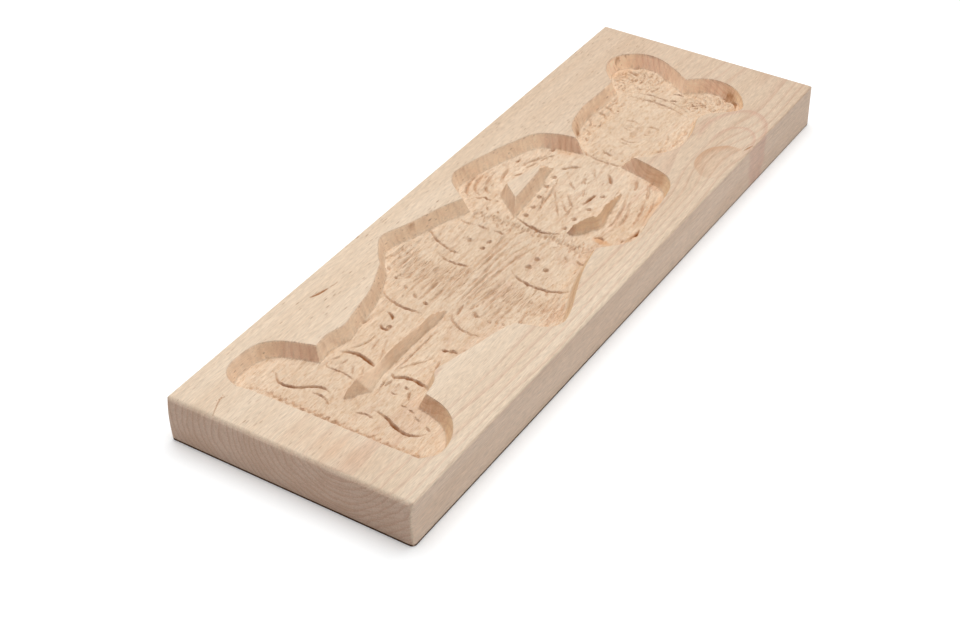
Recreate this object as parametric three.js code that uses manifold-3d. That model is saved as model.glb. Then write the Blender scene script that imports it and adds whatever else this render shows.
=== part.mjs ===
import * as THREE from "three";
import { mergeVertices } from "three/addons/utils/BufferGeometryUtils.js";
import Module from "manifold-3d";

// Speculaas board: one beech plank with the mould of a page in a plumed cap cut into its top.
// Millimetres. X runs across the board, Y towards the figure's cap, Z up from the underside.

// The plank
const length = 321;
const width = 106;
const thickness = 20;
const cornerRadius = 2; // the four upright corners
const endRound = 2; // top edge of each end
const endBow = 0.6; // how far each end face swells past its own bottom edge
const undersideRound = 0.6;
const longEase = 0.7; // both long edges, top and bottom
const arcSteps = 4;

// The mould
const floorDepth = 6; // flat floor, below the top face
const wallDraft = 2.5; // how far a wall runs inwards on its way down to the floor
const overcut = 1; // how far a cutter stands above the face that it cuts
const rimPitch = 3.2; // spacing of the points along the mould's rim

// Rim of the mould on the top face, in runs between its corners, each a smooth curve.
const rimRuns = {
  leftPlume: [
    [-25.4, 116], [-33, 124.5], [-35.6, 133], [-32.5, 140.4], [-25.5, 145.4],
    [-17.5, 145.8], [-8.5, 142.2], [2.3, 135.4],
  ],
  rightPlume: [
    [2.3, 135.4], [10.5, 141], [18.6, 141.6], [26.8, 138], [32.5, 131.4],
    [34.6, 124.5], [29, 118.3], [24, 114.2], [21.8, 108.6],
  ],
  rightHair: [
    [21.8, 108.6], [25.4, 96], [26, 84], [21.2, 74.2], [13.1, 66.4],
  ],
  rightArm: [
    [13.1, 66.4], [23.6, 64], [31.8, 61], [36.4, 55.8], [38.4, 48], [40.3, 32],
    [42.6, 16], [40, 8.5], [32.3, 0.2],
  ],
  rightBreeches: [
    [32.3, 0.2], [34.3, -9.5], [36.4, -17.5], [39.8, -27.3], [43.2, -36.4], [45.5, -44.5],
    [45.1, -48.8], [41.8, -53.2], [30.1, -57.6],
  ],
  rightLeg: [
    [30.1, -57.6], [27.3, -65.4], [25.2, -75], [21.8, -89.5], [20.4, -96.5],
    [23.4, -101.6], [24.9, -109.3],
  ],
  rightShoe: [
    [24.9, -109.3], [33.7, -111.4], [40.9, -116.4], [45.8, -124.5], [46.6, -133.5],
    [42, -139.4],
  ],
  base: [
    [42, -139.4], [0, -140.1], [-28, -140.6], [-35.5, -141.6],
  ],
  leftShoe: [
    [-35.5, -141.6], [-41.6, -139.2], [-45.2, -134], [-45.5, -124.5], [-43.2, -117],
    [-36.8, -111.7], [-25.2, -107.5],
  ],
  leftLeg: [
    [-25.2, -107.5], [-25.8, -100], [-23.6, -92], [-25.2, -83.6], [-28.1, -68.6],
    [-34.5, -53],
  ],
  leftBreeches: [
    [-34.5, -53], [-40.2, -46.2], [-44.7, -37], [-40.6, -25], [-36, -9], [-31.6, 2.1],
  ],
  leftArm: [
    [-31.6, 2.1], [-36.8, 5.8], [-42.2, 10.4], [-45, 15.6], [-45, 20], [-43.2, 29],
    [-40.2, 40], [-36.8, 49.6], [-32, 60.4], [-23.4, 65.4], [-15.2, 67],
  ],
  leftHair: [
    [-15.2, 67], [-22.5, 75.7], [-25.5, 90], [-25.2, 103], [-25.4, 116],
  ],
};

// Uncut wood between the left arm and the body: corners on the top face.
const waistGap = [
  [-20, 30.5], [-22, 21.5], [-18.5, 18.4], [-13.5, 14.4], [-14.5, 25], [-15.6, 36], [-17.4, 40.5],
];

// Sharp ridges left standing: x, y and height above the floor along each crest, and how far a
// full ridge's right side runs out there. The last point of the first one makes its blunt end.
const ridgeCrests = [
  [
    [-1.1, -58, 0, 1.6], [-0.8, -66.8, 5.8, 1.6], [-1.7, -74, 5.8, 1.5], [-1.4, -97, 5.7, 2.1],
    [-1.3, -103, 3.9, 4.4], [-1.3, -109.5, 4.7, 4.6], [-1.4, -115.4, 5.8, 4.4], [-1.4, -120.4, 0, 1],
  ],
  [[-15.9, 49.5, 0, 1.8], [-16.5, 40, 5.8, 1.8], [-15.6, 34, 5.8, 1.8]],
  [
    [12.9, 11.4, 0, 1.5], [16.3, 12.3, 5, 1.5], [18.3, 18, 5.8, 1.5], [20.8, 20.9, 5.6, 1.5],
    [20.8, 25.1, 5.8, 1.5], [19.8, 32.4, 5.8, 1.5], [19.3, 37.9, 4.6, 1.5], [19.1, 43.9, 2, 1.5],
    [19.8, 50, 0, 1.5],
  ],
];
const ridgeSteep = 1.6; // how far the left side of a full ridge runs out
const ridgeRoot = 1; // how far it reaches into the wood under the floor

// Rounded forms of the figure, pressed deeper than the floor: ellipses in plan.
// turn is in degrees, anticlockwise.
const forms = [
  { part: "left plume", at: [-19.5, 131.5], reach: [13, 10.5], deeper: 1.5, turn: 30 },
  { part: "right plume", at: [17.5, 127.5], reach: [13.5, 9.5], deeper: 1.5, turn: -18 },
  { part: "cap band", at: [-0.8, 116.5], reach: [19, 4.6], deeper: 0.8, turn: -4 },
  { part: "left hair", at: [-18.4, 92], reach: [4.4, 19], deeper: 0.9, turn: 2 },
  { part: "right hair", at: [18.2, 90], reach: [4.2, 17], deeper: 0.9, turn: -2 },
  { part: "face", at: [-0.6, 95], reach: [13, 17.5], deeper: 1.5, turn: 0 },
  { part: "collar", at: [-1, 70.5], reach: [15, 4.5], deeper: 0.8, turn: 0 },
  { part: "chest", at: [0, 40], reach: [12.5, 25], deeper: 1.5, turn: 0 },
  { part: "left upper arm", at: [-28.5, 43], reach: [7, 20], deeper: 1.3, turn: -15 },
  { part: "right upper arm", at: [28.5, 43], reach: [7, 20], deeper: 1.3, turn: 15 },
  { part: "left elbow", at: [-33, 18], reach: [7.5, 8.5], deeper: 1.2, turn: -20 },
  { part: "right elbow", at: [32.5, 17], reach: [7.5, 9], deeper: 1.2, turn: 20 },
  { part: "belt", at: [0, 3], reach: [27.5, 4.5], deeper: 0.8, turn: 0 },
  { part: "left breeches", at: [-20.5, -26], reach: [15.5, 27], deeper: 1.8, turn: -10 },
  { part: "right breeches", at: [22, -27], reach: [15, 28], deeper: 1.8, turn: 9 },
  { part: "left calf", at: [-13.2, -84], reach: [8, 16], deeper: 1.2, turn: 2 },
  { part: "right calf", at: [11.6, -84], reach: [7.6, 16], deeper: 1.2, turn: -2 },
  { part: "left shoe", at: [-25, -122.5], reach: [15.5, 9.5], deeper: 0.4, turn: 8 },
  { part: "right shoe", at: [24.5, -122.5], reach: [16, 9.5], deeper: 0.4, turn: -8 },
];
const formTurns = 12; // sides of a form's ellipse
const formRings = 3;
const formLip = 0.05; // height of a form's cutter above the floor

const cutPitch = 8; // longest step along a gouge
const leastSteps = 2; // fewest steps along a gouge
const cutLift = 0.3; // how far a gouge or a pit opens above the floor
const runOut = 0.15; // share of a gouge's section left at its ends

// Lines cut with a V gouge along the floor of the mould, in plan, by what they draw
const gouges = [
  {
    part: "plume curls", halfWidth: 0.7, cut: 0.8,
    paths: [
      [[-29.4, 136.3], [-28.1, 138.1], [-26.7, 137.9]],
      [[-25.3, 133.4], [-24.1, 134.9], [-22.8, 134.4]],
      [[-17.8, 140.9], [-18.8, 139], [-15.8, 137.6]], [[-21.4, 131], [-18.5, 129.5], [-16, 129.1]],
      [[-10.9, 132.3], [-9, 129.3], [-10.1, 126.6]], [[-13.4, 121], [-12.2, 122.3], [-10.8, 122.5]],
      [[-0.8, 129.9], [2.4, 128.8]], [[5, 132.6], [5.5, 130.9], [5, 128.8]],
      [[-2.8, 125.7], [-0.6, 125.4], [0.6, 124.6]], [[1.6, 122.9], [4.4, 120.8]],
      [[14, 134.8], [15.4, 133.2], [15, 131.2]], [[14.6, 126.1], [15.4, 127.9], [17.2, 128.8]],
      [[17.8, 129.6], [19.3, 128.6], [19.2, 126.7]], [[21, 134.3], [22.8, 133.2], [23.5, 131.3]],
    ],
  },
  {
    part: "cap band", halfWidth: 0.8, cut: 0.9,
    paths: [
      [[-20.6, 116.5], [-10.4, 119.6], [-0.3, 120.5], [9.6, 118.2], [17.9, 113.6]],
      [[-19.9, 114], [-10.4, 115.9], [-0.6, 116.8], [8.6, 115.4], [17.2, 111.1]],
    ],
  },
  {
    part: "locks of hair", halfWidth: 0.65, cut: 0.7,
    paths: [
      [[-16.5, 112.8], [-15.8, 110], [-17.2, 107.5]],
      [[-20.2, 113.2], [-19.4, 110.2], [-21, 107.5]],
      [[-21.9, 104.7], [-19, 104.7], [-16.5, 101.9]], [[-22.8, 98.5], [-20, 99.5], [-16.9, 96.8]],
      [[-19, 94.2], [-16.6, 92], [-16.1, 88.3]], [[-22.7, 91.6], [-20.8, 90.4], [-20.1, 87.2]],
      [[-21.8, 83.9], [-19.1, 84.2], [-16.1, 81.3]], [[-17.3, 78], [-14.3, 75.2]],
      [[17.5, 106.1], [19, 104.1], [18.5, 101.7]], [[17.7, 97.1], [19, 95.5], [18.4, 93.7]],
      [[12.3, 98.2], [14.2, 96.4], [14.4, 94.1]], [[16.6, 89.3], [16.1, 85.8], [14.2, 82.3]],
      [[21.1, 90.9], [20.5, 87.2], [18.4, 84.2]], [[19, 80], [17, 79], [15.2, 75.6]],
    ],
  },
  {
    part: "collar", halfWidth: 0.75, cut: 0.8,
    paths: [
      [[-13.6, 68.8], [-6, 65.6], [0, 65], [6, 65.4], [12, 68.2]],
      [[-5.3, 73.1], [-3.5, 72], [0.1, 72.4]], [[-11.6, 68.8], [-9.8, 66.6], [-7.2, 65.6]],
    ],
  },
  {
    part: "lapels", halfWidth: 0.9, cut: 0.9,
    paths: [
      [[-11.4, 50.3], [-9.4, 53.5], [-6.3, 56.8]], [[5.6, 57.9], [11.2, 51.3]],
    ],
  },
  {
    part: "slits of the doublet and sleeve", halfWidth: 0.6, cut: 0.9,
    paths: [
      [[7.8, 32.9], [8.7, 42.9]], [[37.4, 27.6], [37.4, 24], [36.4, 21.3]],
     
    ],
  },
  {
    part: "folds of the doublet", halfWidth: 0.6, cut: 0.8,
    paths: [
      [[-0.8, 51.8], [-0.9, 46.8]], [[-9.6, 45.9], [-6.5, 26.1]], [[-5.5, 21.2], [-4.4, 16.6]],
      [[-4, 15], [-2.9, 9.8]], [[-1.1, 26.6], [2.1, 21.4], [5.1, 18.2]],
      [[-1.4, 34.8], [1.9, 32.6], [4.5, 30]], [[1.8, 44], [4.8, 38.2]], [[-3.3, 39], [-0.7, 36.8]],
      [[-2.4, 24.7], [-2, 22.2]], [[-1.2, 59], [0.8, 55.2], [3.6, 51.5]],
      [[-5.9, 46], [-3.4, 43.2], [-0.7, 41.6]], [[-5.3, 35.4], [-3.1, 33.1], [-1.5, 30.2]],
    ],
  },
  {
    part: "sleeve folds", halfWidth: 0.75, cut: 0.8,
    paths: [
      [[20, 50], [23.6, 38.6], [25.5, 28], [25, 22]], [[23.3, 46.1], [27.4, 34], [28.5, 22.8]],
      [[28.2, 49.3], [31.2, 39.2], [33.1, 28.7]], [[30.5, 52.7], [34.1, 42.7], [36.3, 32.3]],
      [[24.1, 59.2], [26.9, 55], [28.2, 50.2]], [[18.5, 60], [20.4, 56.3], [21.3, 52.7]],
      [[-41, 27.5], [-40.2, 20], [-38, 15.3], [-35, 13.1]],
      [[-38.8, 31], [-38.1, 23.1], [-35.8, 18.6], [-32.4, 17.2]],
      [[-35.7, 34.3], [-34.7, 26.8], [-32.6, 21.8], [-28.6, 19.5]], [[-33.2, 41.2], [-29.5, 28.1]],
      [[-30.1, 57.2], [-32.8, 51.4], [-34.6, 44.6]], [[-25.8, 59.6], [-29.1, 54], [-31.4, 47.2]],
      [[-20.6, 58.6], [-23.3, 55.4], [-24.5, 52.1]],
    ],
  },
  {
    part: "sleeve slits", halfWidth: 0.6, cut: 0.8,
    paths: [
      [[-27.2, 44.7], [-24.5, 51.1]], [[-28.5, 35.7], [-26, 41.1]], [[-37, 30.8], [-36.9, 27.6]],
      [[-32.8, 45.7], [-32, 49]], [[34.7, 19.5], [34, 17.6]],
    ],
  },
  {
    part: "cuffs", halfWidth: 0.8, cut: 0.9,
    paths: [
      [[-34, 14.3], [-31.6, 15], [-30.1, 16.1], [-27.3, 15.2], [-25.2, 15.4]],
      [[24, 13.8], [26.6, 15.5], [29.8, 13.8]],
    ],
  },
  {
    part: "belt", halfWidth: 0.9, cut: 1,
    paths: [
      [[-8.2, 9.2], [-3, 7.6], [3.9, 6.8]], [[5.2, 7.2], [7.7, 7.3]],
    ],
  },
  {
    part: "nicks under the belt", halfWidth: 0.6, cut: 0.7,
    paths: [
      [[-24.7, 9.8], [-23, 8]], [[-19.2, 9.8], [-17.9, 7.7]], [[-14.3, 9.3], [-12.2, 7]],
      [[-11.6, 10.8], [-10.9, 7.3]], [[-15.6, 3], [-12.4, -1.1]], [[12.3, 9.8], [13.6, 7.2]],
      [[16.8, 8.4], [18.1, 6.3]], [[21.8, 9.3], [23.1, 6.7]], [[25.3, 6.3], [26.7, 4.7]],
      [[-21.9, 3.8], [-19.8, -0.4]], [[-26.2, 4.4], [-25, -0.2]], [[18.7, 4.1], [20.4, -0.4]],
      [[24.5, 1.5], [25.9, -2.4]], [[-9.1, 4.2], [-7.4, -0.5]],
    ],
  },
  {
    part: "edge of the peplum", halfWidth: 0.7, cut: 0.6,
    paths: [
      [[-29, -3.2], [-26.2, -4.1], [-23, -3]], [[-21.4, -2.4], [-16.1, -2.6]],
      [[-14, -2.9], [-7.4, -3.1]], [[13, -1], [15.1, 1.6]], [[20.3, -3], [23.1, -6.3]],
      [[25.7, -3.5], [28.3, -4.8], [31, -4.8]],
    ],
  },
  {
    part: "hems of the breeches", halfWidth: 0.75, cut: 0.8,
    paths: [
      [[-36.4, -16], [-30.8, -19.3], [-21.3, -22], [-16.2, -22.2]],
      [[-26.8, -25.1], [-14, -26.8], [-9, -26.5]],
      [[6.4, -21.5], [11.1, -22.9], [18.8, -23.1], [35.4, -20.5]],
    ],
  },
  {
    part: "drapes", halfWidth: 0.65, cut: 0.6,
    paths: [
      [[1, -2], [0.2, -45]], [[7.5, 0.5], [3.2, -30], [2.8, -43]], [[-0.5, -30], [-0.3, -58]],
      [[-4.2, -4], [-3.4, -14], [-3.6, -26]], [[-41.4, -32], [-42.2, -35], [-42.4, -39]],
    ],
  },
  {
    part: "pleats", halfWidth: 0.8, cut: 0.9,
    paths: [
      [[-36.5, -27], [-39, -43]], [[-35.4, -32.4], [-35, -46]], [[-32.6, -27.8], [-32, -46.1]],
      [[-30.3, -31.5], [-29.7, -40.9]], [[-28.9, -38.7], [-27.3, -50.1]],
      [[-26.7, -32.3], [-24.9, -48.8]], [[-23.6, -30.1], [-23.2, -38.4], [-22, -46]],
      [[-21.3, -36.3], [-19, -56]], [[-17.5, -32.3], [-15.8, -54]],
      [[-14.3, -34.7], [-13.1, -45.8], [-13, -58]], [[-11.4, -30.8], [-9.2, -45]],
      [[-9, -44], [-8.5, -57]], [[-8, -28.2], [-6.4, -37]], [[-5.4, -35], [-4.5, -57.5]],
      [[12.4, -30.6], [12.6, -39.1]], [[11, -37.3], [11.5, -52.5]], [[13, -43.5], [13.3, -55.5]],
      [[17.8, -29.1], [18.1, -36.4]], [[18.9, -36.3], [20, -54.5]], [[23.8, -32.2], [24.7, -39.4]],
      [[25.4, -39.5], [27.1, -49.2]], [[8.8, -30.3], [7.5, -47]], [[7.5, -46], [6.9, -54]],
      [[24.8, -24.6], [26.5, -28.2]], [[29, -28.4], [31.6, -42]], [[32.2, -27.8], [36.2, -42.4]],
      [[35.6, -29.4], [39.2, -43]], [[15.5, -32.4], [16.8, -52]], [[21.6, -31.1], [22.8, -49.1]],
      [[4.4, -38], [4.4, -54]],
    ],
  },
  {
    part: "feet of the pleats", halfWidth: 0.8, cut: 0.9,
    paths: [
      [[-35.8, -45.2], [-33.8, -47.5]], [[-22.9, -52], [-20.9, -54.4]],
      [[-29.4, -50.1], [-27.8, -50.6]], [[-39, -47.8], [-37.4, -55]],
      [[9.6, -52.8], [11, -54.7], [13.2, -55.1]], [[16.8, -53.8], [18.1, -55.5]],
      [[19.6, -53.3], [21, -55]], [[22.2, -53.2], [23.7, -53.6]], [[26.8, -48.1], [28.2, -49.2]],
      [[3.4, -51.2], [4.6, -58.2]], [[-16.8, -55], [-15.6, -56.6], [-14.2, -57.2]],
      [[-11, -57.4], [-9.8, -58.4], [-8.4, -58.2]],
    ],
  },
  {
    part: "knee bands", halfWidth: 0.8, cut: 0.9,
    paths: [
      [[-28.8, -59.8], [-25, -62.5], [-20, -64.2], [-15, -65], [-10, -64.6], [-6.6, -63.6]],
      [[2.1, -57.2], [4.5, -61.2], [8, -63.5], [12, -65], [16, -65.3], [20.4, -64.7]],
    ],
  },
  {
    part: "bows", halfWidth: 0.8, cut: 0.9,
    paths: [
      [[-19.2, -70], [-15.9, -71.6], [-15, -73.1]],
      [[-17.4, -77.5], [-15.8, -78.8], [-13.8, -78.9], [-12.4, -77.8]],
      [[11, -77.9], [13.7, -77.6]], [[14.4, -76.9], [15.9, -76.9], [17.3, -77.6]],
      [[19.7, -74.4], [19.5, -75.8]],
    ],
  },
  {
    part: "stockings", halfWidth: 0.6, cut: 0.6,
    paths: [
      [[-15.3, -82.7], [-15.4, -88.9], [-18, -96.4]], [[-10.4, -82.5], [-5, -95], [-3.7, -99.4]],
      [[-12.8, -83.7], [-11.4, -92.1]], [[11, -82.3], [9.2, -87.3], [4.2, -97.3]],
      [[13.6, -82.4], [15.5, -89.2], [20.1, -98.8]], [[-22, -76], [-23, -82], [-22.2, -88]],
      [[3.6, -68], [3.4, -100]], [[21, -76], [20, -83], [18.3, -88.8]],
    ],
  },
  {
    part: "ankle ruffles", halfWidth: 1, cut: 1.2,
    paths: [
      [[-20.2, -99.6], [-13.8, -97.1], [-10.7, -97.7], [-4.2, -100.4]],
      [[3.4, -100.2], [5.3, -101.6], [8.5, -99.6], [10.9, -99.2], [18, -100], [20, -101.2]],
    ],
  },
  {
    part: "ankle folds", halfWidth: 0.6, cut: 0.7,
    paths: [
      [[-15, -101.6], [-16.1, -106.4]], [[-11, -103.6], [-8.3, -108.4]],
      [[15, -104.8], [17.6, -109.8]], [[12, -104], [14.2, -104.7]], [[5.9, -103], [5.4, -107.4]],
      [[-18.4, -102], [-20.4, -105.6]], [[9, -103], [9.2, -107]], [[-7.6, -102], [-5.6, -106.4]],
    ],
  },
  {
    part: "tops of the shoes", halfWidth: 0.6, cut: 0.7,
    paths: [
      [[-20.6, -106.6], [-19.5, -109.3], [-11, -109.5], [-7, -110.5], [-4.7, -111.7]],
      [[3.9, -104.6], [5.6, -113]], [[9.2, -109.3], [12.4, -108.9]],
      [[16.2, -113.1], [19.2, -113.4]], [[20.1, -113.8], [23.2, -114.7]],
      [[24, -116.1], [27.7, -117.3]], [[30.5, -118.2], [33.6, -119.9]],
    ],
  },
  {
    part: "scrolls on the shoes", halfWidth: 0.85, cut: 1,
    paths: [
      [[-33.2, -122.1], [-30.2, -125.1], [-27.2, -126.2],
        [-22.2, -125.2], [-14.7, -120.3], [-12.6, -120], [-10, -120.8]],
      [[9.9, -120.6], [16.8, -122], [20.7, -123.9], [25.7, -125.3], [29.8, -124.6], [33.3, -121.5]],
    ],
  },
  {
    part: "curls on the shoes", halfWidth: 0.6, cut: 0.7,
    paths: [
      [[-15.6, -124.3], [-12.6, -124], [-9.5, -124.5], [-5.6, -126.8]],
      [[4.6, -125.2], [9, -123.9], [12.3, -124.6]],
    ],
  },
  {
    part: "brows", halfWidth: 0.55, cut: 0.6,
    paths: [
      [[-8.8, 100.5], [-5.4, 102], [-2.2, 100.7]], [[1, 100.7], [4.2, 102], [7.6, 100.5]],
    ],
  },
  {
    part: "nose", halfWidth: 1.5, cut: 1.2,
    paths: [
      [[-0.6, 101], [-0.6, 89.4]],
    ],
  },
  {
    part: "mouth", halfWidth: 0.55, cut: 0.7,
    paths: [
      [[-4.8, 87.1], [-0.6, 86], [3.6, 87.1]], [[-2.9, 83.9], [-0.6, 83.4], [1.7, 83.9]],
    ],
  },
];

// Fan of barbs in each plume: short curved cuts of one kind, repeated.
const barbs = { count: 7, halfWidth: 0.6, cut: 0.7, inner: 4.5, outer: 11.5, lean: 28 };
const plumeRoots = [
  { at: [-19.5, 131], from: 0, to: 235 },
  { at: [17, 127.5], from: -70, to: 180 },
];

// Round pits: shoulder studs, buttons, studs on the breeches, eyes and the bows' knots
const studRadius = 1.3;
const studs = [
  [-23.7, 61.7], [25.6, 61.3], [-12.1, 43.5], [-11.5, 36.1], [-10.1, 27.9], [-8.3, 20],
  [-7.8, 13.3], [12.3, 30.2], [10.5, 21], [10.5, 13.2], [12.4, 41.7], [-10.9, -10.2],
  [-19.1, -12.3], [-11.1, -14.9], [11.6, -10.3], [11.2, -15.9], [17.9, -13.8], [-13.7, -77],
  [14.9, -77.1],
];
const eyeRadius = 1.5;
const eyes = [[-5.2, 97.4], [4, 97.4]];
const pitSides = 6;

// The row of small beads along the ground line: one short cut for each
const beads = { from: -34, to: 40, pitch: 4.8, y: -133.4, halfWidth: 0.7, cut: 0.8, rise: 0.5 };

const weldDistance = 1e-4; // corners nearer to each other than this are one

const wasm = await Module();
wasm.setup();

const topFace = thickness;
const plan = ([x, y]) => new THREE.Vector2(x, y);

// A closed geometry as a solid that can be joined and cut.
function solidOf(geometry) {
  geometry.deleteAttribute("normal");
  geometry.deleteAttribute("uv");
  const merged = mergeVertices(geometry, weldDistance);
  return new wasm.Manifold(
    new wasm.Mesh({
      numProp: 3,
      vertProperties: new Float32Array(merged.attributes.position.array),
      triVerts: new Uint32Array(merged.index.array),
    }),
  );
}

// A solid as a geometry with flat facets.
function geometryOf(solid) {
  const mesh = solid.getMesh();
  const indexed = new THREE.BufferGeometry();
  indexed.setAttribute("position", new THREE.BufferAttribute(mesh.vertProperties, 3));
  indexed.setIndex(new THREE.BufferAttribute(mesh.triVerts, 1));
  const geometry = indexed.toNonIndexed();
  geometry.computeVertexNormals();
  return geometry;
}

// The plank: its side outline drawn across the width, then trimmed to round upright corners.
function plank() {
  const halfLength = length / 2;
  const halfWidth = width / 2;
  const foot = halfLength - endBow;
  const shoulder = topFace - endRound;
  const side = new THREE.Shape();
  side.moveTo(-foot + undersideRound, 0);
  side.lineTo(foot - undersideRound, 0);
  side.lineTo(foot, undersideRound);
  side.quadraticCurveTo(halfLength, shoulder / 2, halfLength, shoulder);
  side.absarc(halfLength - endRound, shoulder, endRound, 0, Math.PI / 2);
  side.absarc(-halfLength + endRound, shoulder, endRound, Math.PI / 2, Math.PI);
  side.quadraticCurveTo(-halfLength, shoulder / 2, -foot, undersideRound);
  const bar = new THREE.ExtrudeGeometry(side, {
    depth: width - 2 * longEase,
    curveSegments: arcSteps,
    bevelThickness: longEase,
    bevelSize: longEase,
    bevelOffset: -longEase,
    bevelSegments: 2,
  });
  bar.translate(0, 0, -halfWidth + longEase);
  // drawn in length and height, extruded across: length to Y, height to Z, across to X
  bar.applyMatrix4(new THREE.Matrix4().set(0, 0, 1, 0, 1, 0, 0, 0, 0, 1, 0, 0, 0, 0, 0, 1));

  const r = cornerRadius;
  const outline = new THREE.Shape();
  outline.absarc(halfWidth - r, halfLength - r, r, 0, Math.PI / 2);
  outline.absarc(-halfWidth + r, halfLength - r, r, Math.PI / 2, Math.PI);
  outline.absarc(-halfWidth + r, -halfLength + r, r, Math.PI, Math.PI * 1.5);
  outline.absarc(halfWidth - r, -halfLength + r, r, -Math.PI / 2, 0);
  const column = new THREE.ExtrudeGeometry(outline, {
    depth: thickness + 2 * overcut,
    curveSegments: arcSteps,
    bevelEnabled: false,
  });
  column.translate(0, 0, -overcut);
  return solidOf(bar).intersect(solidOf(column));
}

// The rim as one closed shape, with the waist gap left as a hole.
function figureShape() {
  const points = [];
  for (const run of Object.values(rimRuns)) {
    const curve = new THREE.SplineCurve(run.map(plan));
    const steps = Math.ceil(curve.getLength() / rimPitch);
    points.push(...curve.getSpacedPoints(steps).slice(0, -1));
  }
  const shape = new THREE.Shape(points);
  shape.holes.push(new THREE.Path(waistGap.map(plan)));
  return shape;
}

// Cutter for the mould: full size at the top face, drawn in by the draft at the floor.
function figureCutter() {
  const cutter = new THREE.ExtrudeGeometry(figureShape(), {
    depth: overcut,
    bevelThickness: floorDepth,
    bevelSize: wallDraft,
    bevelOffset: -wallDraft,
    bevelSegments: 1,
  });
  cutter.translate(0, 0, topFace);
  return solidOf(cutter);
}

// Column over the floor alone, inside the foot of the walls: it keeps the fine cuts off them.
function floorColumn() {
  const column = new THREE.ExtrudeGeometry(figureShape(), {
    depth: thickness,
    bevelThickness: overcut,
    bevelSize: 0,
    bevelOffset: -wallDraft,
    bevelSegments: 1,
  });
  return solidOf(column);
}

// How deep a form presses at a point, on top of the floor's own depth.
function formDepthAt(form, x, y) {
  const turn = THREE.MathUtils.degToRad(form.turn);
  const dx = x - form.at[0];
  const dy = y - form.at[1];
  const u = (dx * Math.cos(turn) + dy * Math.sin(turn)) / form.reach[0];
  const v = (-dx * Math.sin(turn) + dy * Math.cos(turn)) / form.reach[1];
  return form.deeper * Math.sqrt(Math.max(0, 1 - u * u - v * v));
}

// Height of the mould's floor above the underside, forms included.
function floorAt(x, y) {
  const pressed = forms.map((form) => formDepthAt(form, x, y));
  return topFace - floorDepth - Math.max(...pressed);
}

// Half of a flattened ball, flat side up, for one form.
function formCutter(form) {
  const profile = [new THREE.Vector2(0, -form.deeper)];
  for (let i = 1; i < formRings; i++) {
    const angle = (i / formRings) * (Math.PI / 2);
    profile.push(new THREE.Vector2(Math.sin(angle), -form.deeper * Math.cos(angle)));
  }
  profile.push(new THREE.Vector2(1, 0), new THREE.Vector2(1, formLip), new THREE.Vector2(0, formLip));
  const bowl = new THREE.LatheGeometry(profile, formTurns);
  bowl.rotateX(Math.PI / 2);
  bowl.scale(form.reach[0], form.reach[1], 1);
  bowl.rotateZ(THREE.MathUtils.degToRad(form.turn));
  bowl.translate(form.at[0], form.at[1], topFace - floorDepth);
  return solidOf(bowl);
}

// Closed solid through a row of three-cornered sections, each given as nine coordinates.
function loft(sections) {
  const triangles = [0, 1, 2];
  const last = (sections.length - 1) * 3;
  for (let base = 0; base < last; base += 3) {
    for (let corner = 0; corner < 3; corner++) {
      const here = base + corner;
      const beside = base + ((corner + 1) % 3);
      triangles.push(here, here + 3, beside + 3, here, beside + 3, beside);
    }
  }
  triangles.push(last, last + 2, last + 1);
  const geometry = new THREE.BufferGeometry();
  geometry.setAttribute("position", new THREE.Float32BufferAttribute(sections.flat(), 3));
  geometry.setIndex(triangles);
  return solidOf(geometry);
}

// V gouge drawn along a path on the floor, running out at both ends.
function gougeCutter({ path, halfWidth, cut }) {
  const curve = new THREE.SplineCurve(path.map(plan));
  const steps = Math.max(leastSteps, Math.ceil(curve.getLength() / cutPitch));
  const sections = [];
  for (let i = 0; i <= steps; i++) {
    const { x, y } = curve.getPointAt(i / steps);
    const along = curve.getTangentAt(i / steps);
    const swell = Math.max(runOut, Math.sqrt(Math.sin((Math.PI * i) / steps)));
    const reach = halfWidth * swell * (1 + cutLift / cut);
    const z = floorAt(x, y);
    sections.push([
      x - along.y * reach, y + along.x * reach, z + cutLift,
      x, y, z - cut * swell,
      x + along.y * reach, y - along.x * reach, z + cutLift,
    ]);
  }
  return loft(sections);
}

// Ridge left standing: a roof whose crest falls to the floor at its ends.
function ridge(crest) {
  const floor = topFace - floorDepth;
  const path = new THREE.SplineCurve(crest.map(plan));
  const upwards = Math.sign(crest.at(-1)[1] - crest[0][1]);
  const sections = crest.map(([x, y, height, rightSide], i) => {
    const along = path.getTangent(i / (crest.length - 1));
    const full = (height + ridgeRoot) / floorDepth;
    const [right, left] = upwards > 0 ? [rightSide, ridgeSteep] : [ridgeSteep, rightSide];
    const foot = floor - ridgeRoot;
    return [
      x + along.y * right * full, y - along.x * right * full, foot,
      x, y, floor + height,
      x - along.y * left * full, y + along.x * left * full, foot,
    ];
  });
  return loft(sections);
}

// Round pit with a pointed bottom.
function pitCutter([x, y], radius) {
  const opening = radius + cutLift; // as wide as it is deep
  const cone = new THREE.ConeGeometry(opening, opening, pitSides);
  cone.rotateX(-Math.PI / 2);
  cone.translate(x, y, floorAt(x, y) + cutLift - opening / 2);
  return solidOf(cone);
}

// Barbs that fan out round the heart of a plume, each bent the same way.
function barbLines() {
  const lines = [];
  for (const root of plumeRoots) {
    for (let i = 0; i < barbs.count; i++) {
      const share = i / (barbs.count - 1);
      const angle = THREE.MathUtils.degToRad(root.from + (root.to - root.from) * share);
      const bend = THREE.MathUtils.degToRad(barbs.lean);
      const spot = (radius, turn) => [
        root.at[0] + radius * Math.cos(angle + turn),
        root.at[1] + radius * Math.sin(angle + turn),
      ];
      const middle = (barbs.inner + barbs.outer) / 2;
      const path = [spot(barbs.inner, 0), spot(middle, bend / 3), spot(barbs.outer, bend)];
      lines.push({ ...barbs, path });
    }
  }
  return lines;
}

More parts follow.
